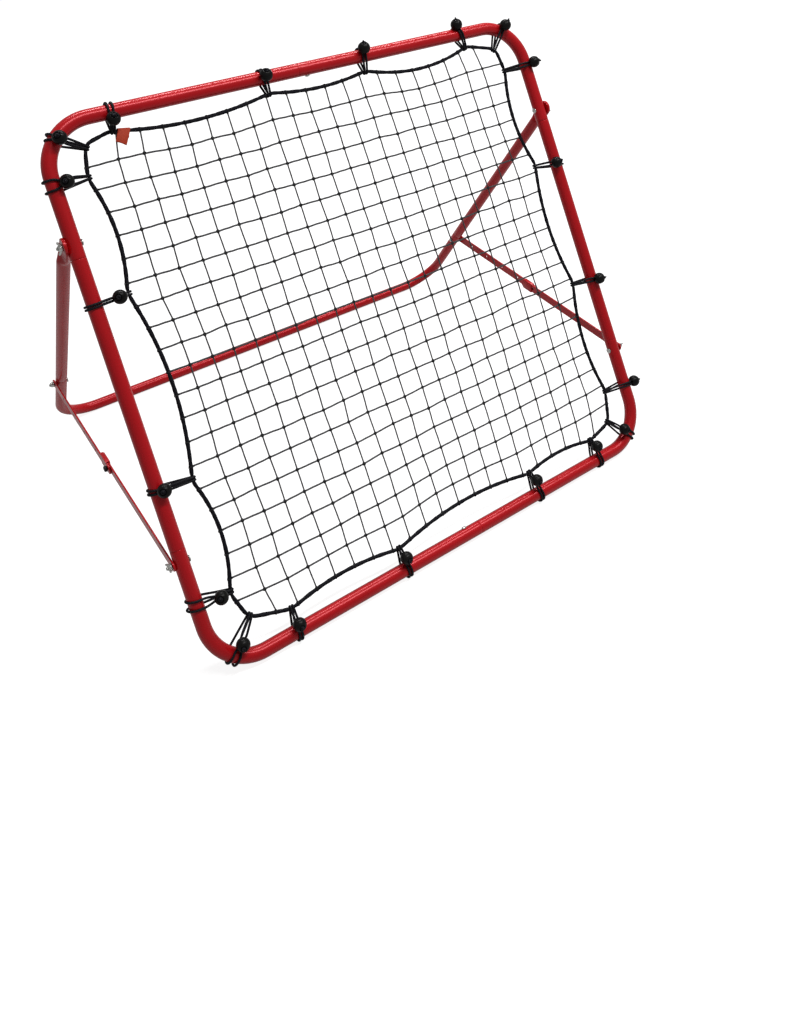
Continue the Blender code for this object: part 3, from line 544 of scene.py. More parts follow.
def flat_plate(loops, thick, edge=0.0004):
    """A plate with rounded edges and real holes, from outlines in its own XY plane."""
    curve = bpy.data.curves.new("plate", "CURVE")
    curve.dimensions = "2D"
    curve.fill_mode = "BOTH"
    curve.extrude = thick / 2 - edge
    curve.bevel_depth = edge
    curve.bevel_resolution = 2
    curve.offset = -edge
    for loop in loops:
        line = curve.splines.new("POLY")
        line.points.add(len(loop) - 1)
        for point, (x, y) in zip(line.points, loop):
            point.co = (x, y, 0, 1)
        line.use_cyclic_u = True
    holder = add_object("plate", curve)
    bpy.context.view_layer.update()
    graph = bpy.context.evaluated_depsgraph_get()
    made = bpy.data.meshes.new_from_object(holder.evaluated_get(graph))
    bpy.data.objects.remove(holder, do_unlink=True)
    bpy.data.curves.remove(curve)
    made.shade_smooth()
    return made


def circle(up, radius):
    """A hole in a plate, up along the plate's Y axis."""
    return [(radius * cos(a), up + radius * sin(a)) for a in turns(32)]


def join_meshes(parts, name):
    """One mesh from several, each with its own matrix."""
    objects = []
    for mesh, matrix in parts:
        mesh.transform(matrix)
        objects.append(add_object(name, mesh))
    with bpy.context.temp_override(
        active_object=objects[0], selected_editable_objects=objects, selected_objects=objects
    ):
        bpy.ops.object.join()
    mesh = objects[0].data
    bpy.data.objects.remove(objects[0], do_unlink=True)
    return mesh


# Net frame and stand: smooth tubes with rounded rims at their joints
def bend_path(start, corner, end, radius):
    """A straight leg, a quarter bend and another straight leg."""
    start, corner, end = (np.array(p, float) for p in (start, corner, end))
    first = unit(corner - start)
    second = unit(end - corner)
    center = corner - first * radius + second * radius
    angles = [pi / 2 * k / 20 for k in range(21)]
    bend = [center - second * radius * cos(a) + first * radius * sin(a) for a in angles]
    legs = []
    for a, b in ((start, bend[0]), (bend[-1], end)):
        legs.append(run(a, b, max(2, int(np.linalg.norm(b - a) / PATH_STEP))))
    return np.array(legs[0] + bend[1:-1] + legs[1])


# A rounded rim: how far each row lies in from the tube's end and down from its surface
RIM_ROWS = [(TUBE_RIM * (1 - sin(a)), TUBE_RIM * (1 - cos(a))) for a in (pi / 6, pi / 3, pi / 2)]


def tube_rows(path, outer, wall, kinds):
    """Middles and radii of a tube with rounded ends: a bore for a socket, a reduced end for a spigot."""
    ends = []
    for tip, inner, kind in ((path[0], path[1], kinds[0]), (path[-1], path[-2], kinds[1])):
        way = unit(inner - tip)
        rows = [(tip + way * RIM_START, outer), (tip + way * TUBE_RIM, outer)]
        rows += [(tip + way * back, outer - down) for back, down in RIM_ROWS]
        if kind == "socket":
            rows += [(tip, outer - wall), (tip + way * JOINT_DEPTH, outer - wall)]
        else:
            rows += [(tip, outer - wall - GAP), (tip - way * JOINT_DEPTH, outer - wall - GAP)]
        ends.append(rows)
    rows = ends[0][::-1] + [(point, outer) for point in path[1:-1]] + ends[1]
    return np.array([row[0] for row in rows]), np.array([row[1] for row in rows])


def smooth_tube(name, path, kinds, outer=TUBE_RADIUS, wall=TUBE_WALL, matrix=M_FRAME, body="net_frame"):
    rows, radii = tube_rows(path, outer, wall, kinds)
    nearest = [np.argmin(np.linalg.norm(path - point, axis=1)) for point in rows]
    normal = np.array([0.0, 1.0, 0.0])
    side = np.cross(normal, headings(path)[nearest])
    side /= np.linalg.norm(side, axis=1)[:, None]
    shape = Shape()
    points = rings(rows, side, normal, radii[:, None], TUBE_SIDES)
    shape.grid(points, lengths(rows), girth(outer, TUBE_SIDES))
    place(name, "tube", RED, shape.mesh(name, matrix), body, 50)


for side, label in SIDES:
    edge = side * HALF_WIDTH
    arm_x = side * ARM_X
    smooth_tube(
        "frame_upper_" + label,
        bend_path((TOP_SEAM_X, 0, FRAME_HEIGHT), (edge, 0, FRAME_HEIGHT), (edge, 0, UPPER_SEAM), FRAME_BEND),
        ("socket" if side > 0 else "spigot", "socket"),
    )
    smooth_tube(
        "frame_side_" + label,
        np.array(run(np.array([edge, 0, LOWER_SEAM + GAP]), np.array([edge, 0, UPPER_SEAM - GAP]), 12)),
        ("spigot", "spigot"),
    )
    smooth_tube(
        "frame_lower_" + label,
        bend_path((BOTTOM_SEAM_X, 0, 0), (edge, 0, 0), (edge, 0, LOWER_SEAM), FRAME_BEND),
        ("spigot" if side > 0 else "socket", "socket"),
    )
    smooth_tube(
        "rear_foot_" + label,
        bend_path((arm_x, 0, -ARM_SEAM), (arm_x, 0, -ARM_LENGTH), (FOOT_SEAM_X, 0, -ARM_LENGTH), STAND_BEND),
        ("socket", "socket" if side > 0 else "spigot"),
        STAND_RADIUS,
        STAND_WALL,
        M_STAND,
        "stand",
    )


def stand_arm(side, label):
    """The arm's top is pressed flat to an ear with a round end, and it swells back to a tube."""
    # Rows: height, half the thickness, half the width, and the outline's power: 2 is an ellipse, 8 nearly a box
    flat = EAR_THICK / 2
    rows = []
    for k in range(13):
        a = pi / 2 * (1 - k / 12)
        rows.append((EAR_RADIUS * sin(a), flat * min(1, 0.35 + 3 * cos(a)), EAR_RADIUS * max(cos(a), 0.04), 8.0))
    rows.append((-0.008, flat, EAR_RADIUS, 8.0))
    for k in range(15):
        f = k / 14
        ease = f * f * (3 - 2 * f)
        thick = flat + (STAND_RADIUS - flat) * ease
        wide = EAR_RADIUS + (STAND_RADIUS - EAR_RADIUS) * ease
        rows.append((-EAR_FLAT - (EAR_END - EAR_FLAT) * f, thick, wide, 2 + 6 * (1 - ease) ** 2))
    end = ARM_SEAM - GAP
    inner = STAND_RADIUS - STAND_WALL - GAP
    tube = [(-EAR_END - (end - TUBE_RIM - EAR_END) * k / 15, STAND_RADIUS) for k in range(1, 16)]
    tube += [(back - end, STAND_RADIUS - down) for back, down in RIM_ROWS]
    tube += [(-end, inner), (-end - JOINT_DEPTH, inner)]
    rows += [(up, radius, radius, 2) for up, radius in tube]
    c, s = np.cos(turns(TUBE_SIDES)), np.sin(turns(TUBE_SIDES))
    points = []
    for up, thick, wide, power in rows:
        scale = (np.abs(c) ** power + np.abs(s) ** power) ** (-1 / power)
        points.append(np.stack([side * ARM_X + thick * c * scale, wide * s * scale, np.full(TUBE_SIDES, up)], 1))
    shape = Shape()
    down = np.array([-row[0] for row in rows])
    top = shape.grid(np.array(points)[:, ::-1], down, girth(STAND_RADIUS, TUBE_SIDES))[0]
    shape.fans.append(top[::-1])
    name = "stand_arm_" + label
    place(name, "tube", RED, shape.mesh(name, M_STAND), "stand", 50)


for side, label in SIDES:
    stand_arm(side, label)


# Braces
def brace_places(side):
    """Where a brace's foot and top bolts stand, with Z along its bars, and how far apart they are."""
    foot_y = PLANE_Y + BRACE_FOOT_UP * sin(LEAN)
    foot_z = BOTTOM_TUBE_Z + BRACE_FOOT_UP * cos(LEAN)
    foot = Vector((side * LOWER_BAR_X, foot_y, foot_z))
    top_y = PIVOT_Y + BRACE_REACH * sin(ARM_ANGLE)
    top_z = PIVOT_Z - BRACE_REACH * cos(ARM_ANGLE)
    top = Vector((side * UPPER_BAR_X, top_y, top_z))
    along = (top - Vector((side * BAR_STEP, 0, 0)) - foot).normalized()
    out = Vector((1, 0, 0))
    out = (out - along * out.dot(along)).normalized()
    turned = Matrix((out, along.cross(out), along)).transposed().to_4x4()
    reach = sqrt((top - foot).yz.length ** 2 + (UPPER_BAR_X - LOWER_BAR_X) ** 2)
    return Matrix.Translation(foot) @ turned, Matrix.Translation(top) @ turned, reach


def bar_outline(length, way):
    """A strip with a half-round bolt end at the origin and a softly rounded far end."""
    half = BAR_WIDTH / 2
    angles = [pi * k / 16 for k in range(17)]
    loop = [(half * cos(a), -half * sin(a) * way) for a in angles]
    return loop + [(-half * cos(a), (length - half * 0.45 + half * 0.45 * sin(a)) * way) for a in angles]


# A plate's XY plane becomes the bar's width and length, and its thickness points out
PLATE_TO_BAR = Matrix(((0, 0, 1, 0), (1, 0, 0, 0), (0, 1, 0, 0), (0, 0, 0, 1)))

KNOB_FACE = BAR_THICK / 2 + GAP
# The knob's profile from the bar's face outwards, as shares of its height and radius
KNOB_SHARES = [(0, 0), (0, 0.82), (0.22, 0.86), (0.30, 1), (0.84, 1), (1, 0.78), (0.93, 0.55), (0.93, 0)]


def ridges(up, angle):
    """Grooves round the knob's side."""
    inside = (up > KNOB_FACE + KNOB_HEIGHT * 0.27) & (up < KNOB_FACE + KNOB_HEIGHT * 0.9)
    return 1 - 0.045 * inside * (0.5 - 0.5 * np.cos(20 * angle)) ** 2


for side, label in SIDES:
    at_foot, at_top, reach = brace_places(side)
    holes = [circle(0, BOLT_HOLE)]
    holes += [circle(-HOLE_FIRST - k * HOLE_PITCH, HOLE_RADIUS) for k in range(HOLE_COUNT)]
    plate = flat_plate([bar_outline(UPPER_BAR_LENGTH, -1)] + holes, BAR_THICK)
    plate.transform(at_top @ PLATE_TO_BAR)
    place("brace_upper_bar_" + label, "plate", RED, plate, "upper_bar_" + label, 50)

    pin_up = reach - PIN_AT
    holes = [circle(0, BOLT_HOLE), circle(pin_up, HOLE_RADIUS)]
    plate = flat_plate([bar_outline(LOWER_BAR_LENGTH, 1)] + holes, BAR_THICK)
    inner = BAR_WIDTH / 2 + CLIP_SLACK
    outer = inner + CLIP_WALL
    near = -side * (BAR_THICK / 2 + 0.0001)
    deep = near - side * CLIP_WALL
    lip = side * (BAR_STEP + BAR_THICK / 2)
    bend = side * CLIP_BEND
    corner = [(deep + bend, outer), (deep + bend * 0.3, outer - CLIP_BEND * 0.3), (deep, outer - CLIP_BEND)]
    channel = [(lip, -outer), (lip, -inner), (near, -inner), (near, inner), (lip, inner), (lip, outer)]
    clip = flat_plate([channel + corner + [(x, -y) for x, y in corner[::-1]]], CLIP_LENGTH, 0.0003)
    clip_at = at_foot @ Matrix.Translation((0, 0, pin_up + KNOB_RADIUS * 0.5 + CLIP_LENGTH / 2))
    name = "brace_lower_bar_" + label
    mesh = join_meshes([(plate, at_foot @ PLATE_TO_BAR), (clip, clip_at)], name)
    place(name, "plate", RED, mesh, "lower_bar_" + label, 50)

    profile = [(KNOB_FACE + KNOB_HEIGHT * up, KNOB_RADIUS * out) for up, out in KNOB_SHARES]
    pin = [(-BAR_THICK / 2, 0.0), (-BAR_THICK / 2, PIN_RADIUS), (KNOB_FACE, PIN_RADIUS)]
    shape = Shape()
    add_lathe(shape, (side, 0, 0), fillet(profile, 0.0005), 80, radial=ridges)
    add_lathe(shape, (side, 0, 0), pin, 24)
    name = "brace_knob_" + label
    knob_at = at_top @ Matrix.Translation((0, 0, -PIN_AT))
    place(name, "cap", KNOB, shape.mesh(name, knob_at), "knob_" + label, 50)


# Bolts, wing nuts and screws
def bolt(name, matrix, body, x, up, side, inner_face, nut_face):
    """A domed head with a recess on the inner side, and a shank that ends in a thread."""
    high = BOLT_HEAD_HEIGHT
    head = inner_face - x - GAP
    tip = nut_face - x + NUT_HEIGHT + BOLT_TIP
    dome = [(head - high * 0.55, 0.0), (head - high * 0.55, BOLT_HEAD_RADIUS * 0.36)]
    for k in range(7):
        a = pi / 2 * (0.32 + 0.68 * k / 6)
        dome.append((head - high + high * (1 - cos(a - pi * 0.16)) * 1.05, BOLT_HEAD_RADIUS * sin(a)))
    dome += [(head, BOLT_HEAD_RADIUS), (head, BOLT_RADIUS)]
    shank = [(head + 0.0002, BOLT_RADIUS)]
    thread = tip - THREAD_LENGTH
    flanks = THREAD_TURNS * 2
    for k in range(flanks + 1):
        shank.append((thread + (tip - BOLT_CHAMFER - thread) * k / flanks, BOLT_RADIUS - THREAD_DEPTH * (k % 2)))
    shank += [(tip, BOLT_RADIUS * 0.72), (tip, 0.0)]
    shape = Shape()
    add_lathe(shape, (side, 0, 0), dome, 48)
    add_lathe(shape, (side, 0, 0), shank, 32)
    at = matrix @ Matrix.Translation((side * x, 0, up))
    place(name, "steel", ZINC, shape.mesh(name, at), body, 40)


# A wing's edge from its root over the tip and back, as shares of its reach and its rise
WING_SHARES = [(0.47, 0.62), (0.58, 0.83), (0.67, 0.94), (0.76, 1.00), (0.86, 1.00), (0.94, 0.95)]
WING_SHARES += [(0.99, 0.86), (1.00, 0.74), (0.97, 0.58), (0.89, 0.42), (0.76, 0.26), (0.60, 0.14)]


def wing_nut(name, matrix, body, up, side, face, degrees):
    top = GAP + NUT_HEIGHT
    profile = [(GAP, BOLT_HOLE), (GAP, NUT_BASE_RADIUS), (GAP + 0.0014, NUT_BASE_RADIUS)]
    profile += [(top, NUT_TOP_RADIUS), (top, BOLT_HOLE)]
    shape = Shape()
    add_lathe(shape, (side, 0, 0), fillet(profile, 0.0006), 48)
    at = matrix @ Matrix.Translation((side * face, 0, up)) @ Matrix.Rotation(side * radians(degrees), 4, "X")
    parts = [(shape.mesh(name, Matrix.Identity(4)), at)]
    outline = [(0.0039, WING_RISE * 0.10), (0.0039, WING_RISE * 0.48)]
    outline += [(WING_REACH * reach, WING_RISE * rise) for reach, rise in WING_SHARES]
    for way in (1, -1):
        loop = [(side * (GAP + rise), way * out) for out, rise in outline]
        parts.append((flat_plate([loop], WING_THICK, 0.0008), at))
    place(name, "steel", ZINC, join_meshes(parts, name), body, 40)


def joint_screw(name, matrix, body, spot, way, tube_radius):
    """A round head with a small recess, on the tube's surface."""
    start = tube_radius + GAP
    high, wide = SCREW_HEAD_HEIGHT, SCREW_HEAD_RADIUS
    profile = [(start - 0.004, 0.0021), (start, 0.0021), (start, wide), (start + high * 0.5, wide * 0.96)]
    profile += [(start + high, wide * 0.62), (start + high, 0.0016)]
    profile += [(start + high * 0.3, 0.0008), (start + high * 0.3, 0.0)]
    shape = Shape()
    add_lathe(shape, way, fillet(profile, 0.0005), 40)
    place(name, "steel", ZINC, shape.mesh(name, matrix @ Matrix.Translation(spot)), body, 40)


# Each bolt's place, the faces under its head and its nut, and how far the nut is turned
FRAME_INNER = HALF_WIDTH - TUBE_RADIUS
NUT_OFF = BAR_THICK / 2 + BRACE_GAP / 2
FASTENERS = {
    "pivot": (M_FRAME, "net_frame", HALF_WIDTH, PIVOT_UP, FRAME_INNER, ARM_X + EAR_THICK / 2, 62),
    "brace_foot": (M_FRAME, "net_frame", HALF_WIDTH, BRACE_FOOT_UP, FRAME_INNER, LOWER_BAR_X + NUT_OFF, 155),
    "brace_top": (M_STAND, "stand", ARM_X, -BRACE_REACH, ARM_X - STAND_RADIUS, UPPER_BAR_X + NUT_OFF, 75),
}
for side, label in SIDES:
    for where, (matrix, body, x, up, inner_face, nut_face, degrees) in FASTENERS.items():
        bolt(where + "_bolt_" + label, matrix, body, x, up, side, inner_face, nut_face)
        nut, nut_body = where + "_wing_nut_" + label, where + "_nut_" + label
        wing_nut(nut, matrix, nut_body, up, side, nut_face, degrees)

top_spot = (TOP_SEAM_X + SCREW_FROM_SEAM, 0, FRAME_HEIGHT)
joint_screw("top_joint_screw", M_FRAME, "net_frame", top_spot, (0, 0, -1), TUBE_RADIUS)
bottom_spot = (BOTTOM_SEAM_X - BOTTOM_SCREW_FROM_SEAM, 0, 0)
joint_screw("bottom_joint_screw", M_FRAME, "net_frame", bottom_spot, (0, 0, 1), TUBE_RADIUS)
floor_up = (0, sin(ARM_ANGLE), cos(ARM_ANGLE))
joint_screw("foot_joint_screw", M_STAND, "stand", (0, 0, -ARM_LENGTH), floor_up, STAND_RADIUS)


# Hooks, as in the solids
def hook(rope, tube, sag, ball, spread):
    rope, tube = np.array(rope, float), np.array(tube, float)
    return {"rope": rope, "tube": tube, "sag": sag, "ball": ball, "spread": spread}


def corner_hook(label):
    out, rise, angle, ball, spread = CORNER_HOOKS[label]
    side = 1 if "right" in label else -1
    over = 1 if "top" in label else -1
    middle = np.array([side * INNER_ENDS, MIDDLE_UP + over * HALF_STRAIGHT_UP])
    rope = middle + FRAME_BEND * np.array([side * out, over * rise])
    return hook(rope, middle + FRAME_BEND * np.array([cos(angle), sin(angle)]), 0.0, ball, spread)


def side_hooks(label, rows, over, side):
    """over is 1 or -1 for the top or bottom tube, side for the right or left tube."""
    for number, (on_rope, on_tube, inward, *rest) in enumerate(rows, 1):
        if over:
            edge = MIDDLE_UP + over * MIDDLE_UP
            rope = (on_rope * INNER_ENDS, edge - over * inward)
            tube = (on_tube * INNER_ENDS, edge)
        else:
            rope = (side * (HALF_WIDTH - inward), MIDDLE_UP + on_rope * HALF_STRAIGHT_UP)
            tube = (side * HALF_WIDTH, MIDDLE_UP + on_tube * HALF_STRAIGHT_UP)
        hooks["bungee_%s_%d" % (label, number)] = hook(rope, tube, *rest)


hooks = {}
for label, rows, over, side, corner in (
    ("top", TOP_HOOKS, 1, 0, "top_right"),
    ("right", RIGHT_HOOKS, 0, 1, "bottom_right"),
    ("bottom", BOTTOM_HOOKS, -1, 0, "bottom_left"),
    ("left", LEFT_HOOKS, 0, -1, "top_left"),
):
    side_hooks(label, rows, over, side)
    hooks["bungee_corner_" + corner] = corner_hook(corner)


def hook_run(one):
    """Half of the rope's straight run at a hook."""
    out = unit(one["tube"] - one["rope"])
    return np.array([out[1], -out[0]]) * HOOK_STRAIGHT


# Border rope: a closed curve in the frame's plane through all the hooks
def rope_curve():
    order = list(hooks.values())
    points = []
    center = np.array([0, MIDDLE_UP])
    for one, after in zip(order, order[1:] + order[:1]):
        along = hook_run(one)
        start = one["rope"] + along
        end = after["rope"] - hook_run(after)
        points += [one["rope"] - along * f for f in (1.0, 0.5, 0.0, -0.5)]
        way = end - start
        inward = unit(np.array([-way[1], way[0]]))
        inward *= np.sign(inward.dot(center - start))
        count = max(6, int(np.linalg.norm(way) / 0.004))
        for f in np.arange(count) / count:
            points.append(start + way * f + inward * one["sag"] * 4 * f * (1 - f))
    points = np.array(points)
    for _ in range(3):
        points = 0.25 * np.roll(points, 1, 0) + 0.5 * points + 0.25 * np.roll(points, -1, 0)
    far = lengths(points, closed=True)
    count = int(far[-1] / ROPE_STEP)
    at = np.arange(count) / count * far[-1]
    looped = np.vstack([points, points[:1]])
    return np.stack([np.interp(at, far, looped[:, c]) for c in (0, 1)], 1)


rope = rope_curve()


def rope_cross(value, axis, low_side):
    """Where the rope passes value on one axis: the point on its low or its high side."""
    off = rope[:, axis] - value
    passed = rope[off * np.roll(off, -1) <= 0]
    best = np.argmin if low_side else np.argmax
    return passed[best(passed[:, 1 - axis])]


# Net: strands tied to the rope, at rest between equal pulls. The grid's border points are the ties
N = NET_STRANDS + 2


def spaced(first, last):
    return first + (last - first) * (np.arange(N) - 1) / (NET_STRANDS - 1)


grid = np.stack(np.meshgrid(spaced(*NET_X), spaced(*NET_UP), indexing="ij"), 2)
inset = ROPE_RADIUS * 0.6
for k in range(1, N - 1):
    grid[k, 0] = rope_cross(grid[k, 0, 0], 0, True) + (0, inset)
    grid[k, N - 1] = rope_cross(grid[k, 0, 0], 0, False) - (0, inset)
    grid[0, k] = rope_cross(grid[0, k, 1], 1, True) + (inset, 0)
    grid[N - 1, k] = rope_cross(grid[N - 1, k, 1], 1, False) - (inset, 0)
for _ in range(400):
    grid[1:-1, 1:-1] = (grid[:-2, 1:-1] + grid[2:, 1:-1] + grid[1:-1, :-2] + grid[1:-1, 2:]) / 4
grid[1:-1, 1:-1] += random.normal(0, 0.0008, (NET_STRANDS, NET_STRANDS, 2))


def twist(along, angle):
    """Three yarns laid round each other."""
    return 0.87 + 0.26 * np.abs(np.cos(1.5 * (angle - 2 * pi * along / TWINE_LAY)))


def add_strand(shape, nodes, behind, radius):
    """A strand along one line of the grid, a little before or behind the net's plane."""
    path = []
    for a, b in zip(nodes, nodes[1:]):
        path += run(a, b, max(2, int(np.linalg.norm(b - a) / TWINE_STEP)))[:-1]
    path = np.array(path + [nodes[-1]])
    path = np.stack([path[:, 0], np.full(len(path), behind), path[:, 1]], 1)
    add_tube(shape, path, radius, 8, (0, 1, 0), lobes=twist)


def add_knot(shape, spot, size, radius, flip=1):
    """A closed knot of twine, turned at random."""
    turn = random.uniform(0, 2 * pi)
    c, s = cos(turn), sin(turn)
    t = turns(20)
    x = (np.sin(t) + 2 * np.sin(2 * t)) / 3
    y = (np.cos(t) - 2 * np.cos(2 * t)) / 3
    z = -np.sin(3 * t) * 0.45
    path = np.stack([(x * c - y * s) * size, z * size * flip, (x * s + y * c) * size], 1)
    add_tube(shape, path + np.array([spot[0], 0, spot[1]]), radius, 7, (0, 1, 0), closed=True)


def add_tie(shape, end, inner):
    """A run's end: a turn and a half of twine round the rope and a small knot beside it."""
    nearest = np.argmin(np.linalg.norm(rope - end, axis=1))
    way = unit(rope[(nearest + 3) % len(rope)] - rope[nearest - 3])
    across = np.array([-way[1], way[0]])
    t = np.linspace(0, TIE_TURN, 24)
    radius = ROPE_RADIUS + 0.0001
    shift = (t / TIE_TURN - 0.5) * TIE_WIDTH
    flat = rope[nearest] + across * (radius * np.cos(t))[:, None] + way * shift[:, None]
    path = np.stack([flat[:, 0], radius * np.sin(t), flat[:, 1]], 1)
    add_tube(shape, path, TIE_TWINE, 7, (0, 1, 0.01))
    add_knot(shape, end + unit(inner - end) * TIE_WIDTH, TIE_KNOT_SIZE, TIE_KNOT_TWINE)


lines = range(1, N - 1)
shape = Shape()
for k in lines:
    add_strand(shape, grid[k, :], -0.0004, TWINE_RADIUS)
    add_strand(shape, grid[:, k], 0.0004, TWINE_RADIUS * 1.2)
place("net", "twine", TWINE, shape.mesh("net_twine", M_FRAME))
shape = Shape()
for i in lines:
    for j in lines:
        add_knot(shape, grid[i, j], KNOT_SIZE, KNOT_TWINE, 1 if (i + j) % 2 else -1)
for k in lines:
    for i, j in ((k, 0), (k, N - 1), (0, k), (N - 1, k)):
        add_tie(shape, grid[i, j], grid[min(max(i, 1), N - 2), min(max(j, 1), N - 2)])
place("net", "knots", KNOTS, shape.mesh("net_knots", M_FRAME))


def braid(along, angle):
    """The rope's braid: eight strands each way that pass over and under each other."""
    turn = 4 * pi * along / BRAID_PITCH
    one = np.cos(4 * angle + turn) * 0.5 + 0.5
    other = np.cos(4 * angle - turn) * 0.5 + 0.5
    return 0.93 + 0.13 * np.maximum(one, other) ** 0.7


far = lengths(rope, closed=True)[:-1]
lump = 1 + 0.05 * np.sin(far / BRAID_PITCH * 2 * pi) + 0.04 * np.sin(far / 0.047 * 2 * pi + 1)
from_hook = np.min([np.linalg.norm(rope - one["rope"], axis=1) for one in hooks.values()], axis=0)
lump *= 1 - (1 - SQUEEZED) * np.exp(-((from_hook / 0.005) ** 2))
path = np.stack([rope[:, 0], 0.0005 * np.sin(far / 0.06), rope[:, 1]], 1)
shape = Shape()
add_tube(shape, path, ROPE_RADIUS * 0.95 * lump, 32, (0, 1, 0), closed=True, lobes=braid)
place("border_rope", "braid", ROPE, shape.mesh("border_rope_braid", M_FRAME))


# Bungees
def ball_and_knot(ball, cords, middle, axis):
    """A hollow ball with a wide hole for the knotted cord, and an open end with notches."""
    one = np.array([0.0, 1.0, 0.0])
    two = np.cross(axis, one)
    columns = 72
    a = turns(columns)
    round_it = np.cos(a)[:, None] * one + np.sin(a)[:, None] * two
    notch = np.clip(np.cos(6 * a + random.uniform(0, 2 * pi)), 0, 1) ** 0.7
    rim = radians(141) - radians(19) * notch
    wall = 0.15

    def row(angle, share):
        return (share * np.cos(angle), share * np.sin(angle))

    # Rows: how far up the axis and how far out, for each column: the hole, the outside, the end, the inside
    flat = np.zeros(columns)
    rows = [(flat + 0.48, flat), (flat + 0.48, flat + 0.41), (flat + 0.80, flat + 0.43)]
    rows += [row(flat + radians(28.5), 0.955), row(flat + radians(30), 0.985)]
    rows += [row(radians(32) + (rim - radians(32)) * k / 18, 1.0) for k in range(19)]
    rows += [row(rim + radians(1.6), 0.985), row(rim + radians(1.6), 1.015 - wall)]
    rows += [row(rim + (radians(105) - rim) * k / 4, 1 - wall) for k in range(1, 5)]
    rows.append((flat - 0.22, flat))
    points = [middle + BALL_RADIUS * (up[:, None] * axis + out[:, None] * round_it) for up, out in rows]
    ball.grid(np.array(points), BALL_RADIUS * np.arange(len(rows)) / 9, girth(BALL_RADIUS, columns))

    # The cord's end: a coil in the hole and a melted tip that stands up from it
    t = np.linspace(0, 3.3 * pi, 40)
    turn = random.uniform(0, 2 * pi)
    wide = 0.0030 - 0.0012 * t / t[-1]
    up = BALL_RADIUS * 0.62 + 0.0042 * t / t[-1]
    coil = middle + up[:, None] * axis
    coil = coil + (wide * np.cos(t + turn))[:, None] * one + (wide * np.sin(t + turn))[:, None] * two
    add_tube(cords, coil, CORD_RADIUS * 0.9, 12, tuple(axis))
    lean = 0.5 * (np.cos(turn) * one + np.sin(turn) * two)
    rise = np.linspace(0, 1, 7)[:, None]
    tip = coil[-1] + axis * 0.0036 * rise + lean * 0.0018 * rise**2
    add_tube(cords, tip, [0.0019, 0.0020, 0.0017, 0.0018, 0.0014, 0.0011, 0.0004], 10, (0.2, 1, 0.1))


def bungee(name, one):
    """Local axes: x out over the tube, y along it, z to the front."""
    span = one["tube"] - one["rope"]
    reach = np.linalg.norm(span)
    out = span / reach
    square = np.round(out) if "corner" not in name else out
    slant = acos(min(1.0, out.dot(square)))
    on_tube = TUBE_RADIUS + CORD_RADIUS + 0.0001
    on_rope = ROPE_RADIUS * SQUEEZED + CORD_RADIUS
    turn_end = pi / 2 + asin((on_tube - on_rope) / reach)
    # The cord's way: over the tube from its front to its back, to the rope, round it and back
    over_tube = [turn_end - 2 * turn_end * k / 36 for k in range(37)]
    over_tube = [np.array([on_tube * cos(a) / cos(slant), on_tube * sin(a)]) for a in over_tube]
    over_rope = [-turn_end - (2 * pi - 2 * turn_end) * k / 16 for k in range(17)]
    over_rope = [np.array([on_rope * cos(a) - reach, on_rope * sin(a)]) for a in over_rope]
    steps = max(4, int(np.linalg.norm(over_tube[-1] - over_rope[0]) / 0.002))
    route = over_tube + run(over_tube[-1], over_rope[0], steps)[1:-1] + over_rope
    route = np.array(route + run(over_rope[-1], over_tube[0], steps)[1:-1])

    # The ball sits on the cords, over the tube or, when its place is further in, on their straight run
    sunk = CORD_RADIUS + BALL_RADIUS * 0.5
    shell = on_tube + sunk
    if one["ball"] > shell * cos(turn_end):
        a = acos(min(1.0, one["ball"] / shell))
        middle = np.array([shell * cos(a), 0, shell * sin(a)])
        outward = unit(middle)
    else:
        rise = (shell - one["ball"] * cos(turn_end)) / sin(turn_end)
        middle = np.array([one["ball"], 0, rise])
        outward = np.array([cos(turn_end), 0, sin(turn_end)])
    seat = middle - outward * sunk

    # Half the distance between the two cords: narrow at the rope and the ball, wide behind the tube
    near_rope = np.clip((-route[:, 0] - TUBE_RADIUS) / (reach - TUBE_RADIUS), 0, 1)
    near_ball = np.exp(-(((route[:, 0] - seat[0]) ** 2 + (route[:, 1] - seat[2]) ** 2) / 0.011**2))
    wide = one["spread"] * (1 - near_ball) + CORDS_AT_BALL * near_ball
    wide = wide * (1 - near_rope) + CORDS_AT_ROPE * near_rope
    across, front = Vector((out[0], 0, out[1])), Vector((0, -1, 0))
    turn = Matrix((across, front.cross(across), front)).transposed().to_4x4()
    matrix = M_FRAME @ Matrix.Translation((one["tube"][0], 0, one["tube"][1])) @ turn
    cords = Shape()
    for way in (1, -1):
        path = np.stack([route[:, 0], way * wide, route[:, 1]], 1)
        add_tube(cords, path, CORD_RADIUS, 14, (0, 1, 0.01), closed=True)

    tilt = atan2(outward[2], outward[0])
    tilt -= min(radians(38), tilt * 0.45)
    axis = np.array([cos(tilt), 0.0, sin(tilt)])
    ball = Shape()
    ball_and_knot(ball, cords, middle, axis)
    place(name, "cord", CORD, cords.mesh(name + "_cord", matrix))
    place(name, "ball", BALL, ball.mesh(name + "_ball", matrix), sharp=60)


for name, one in hooks.items():
    bungee(name, one)


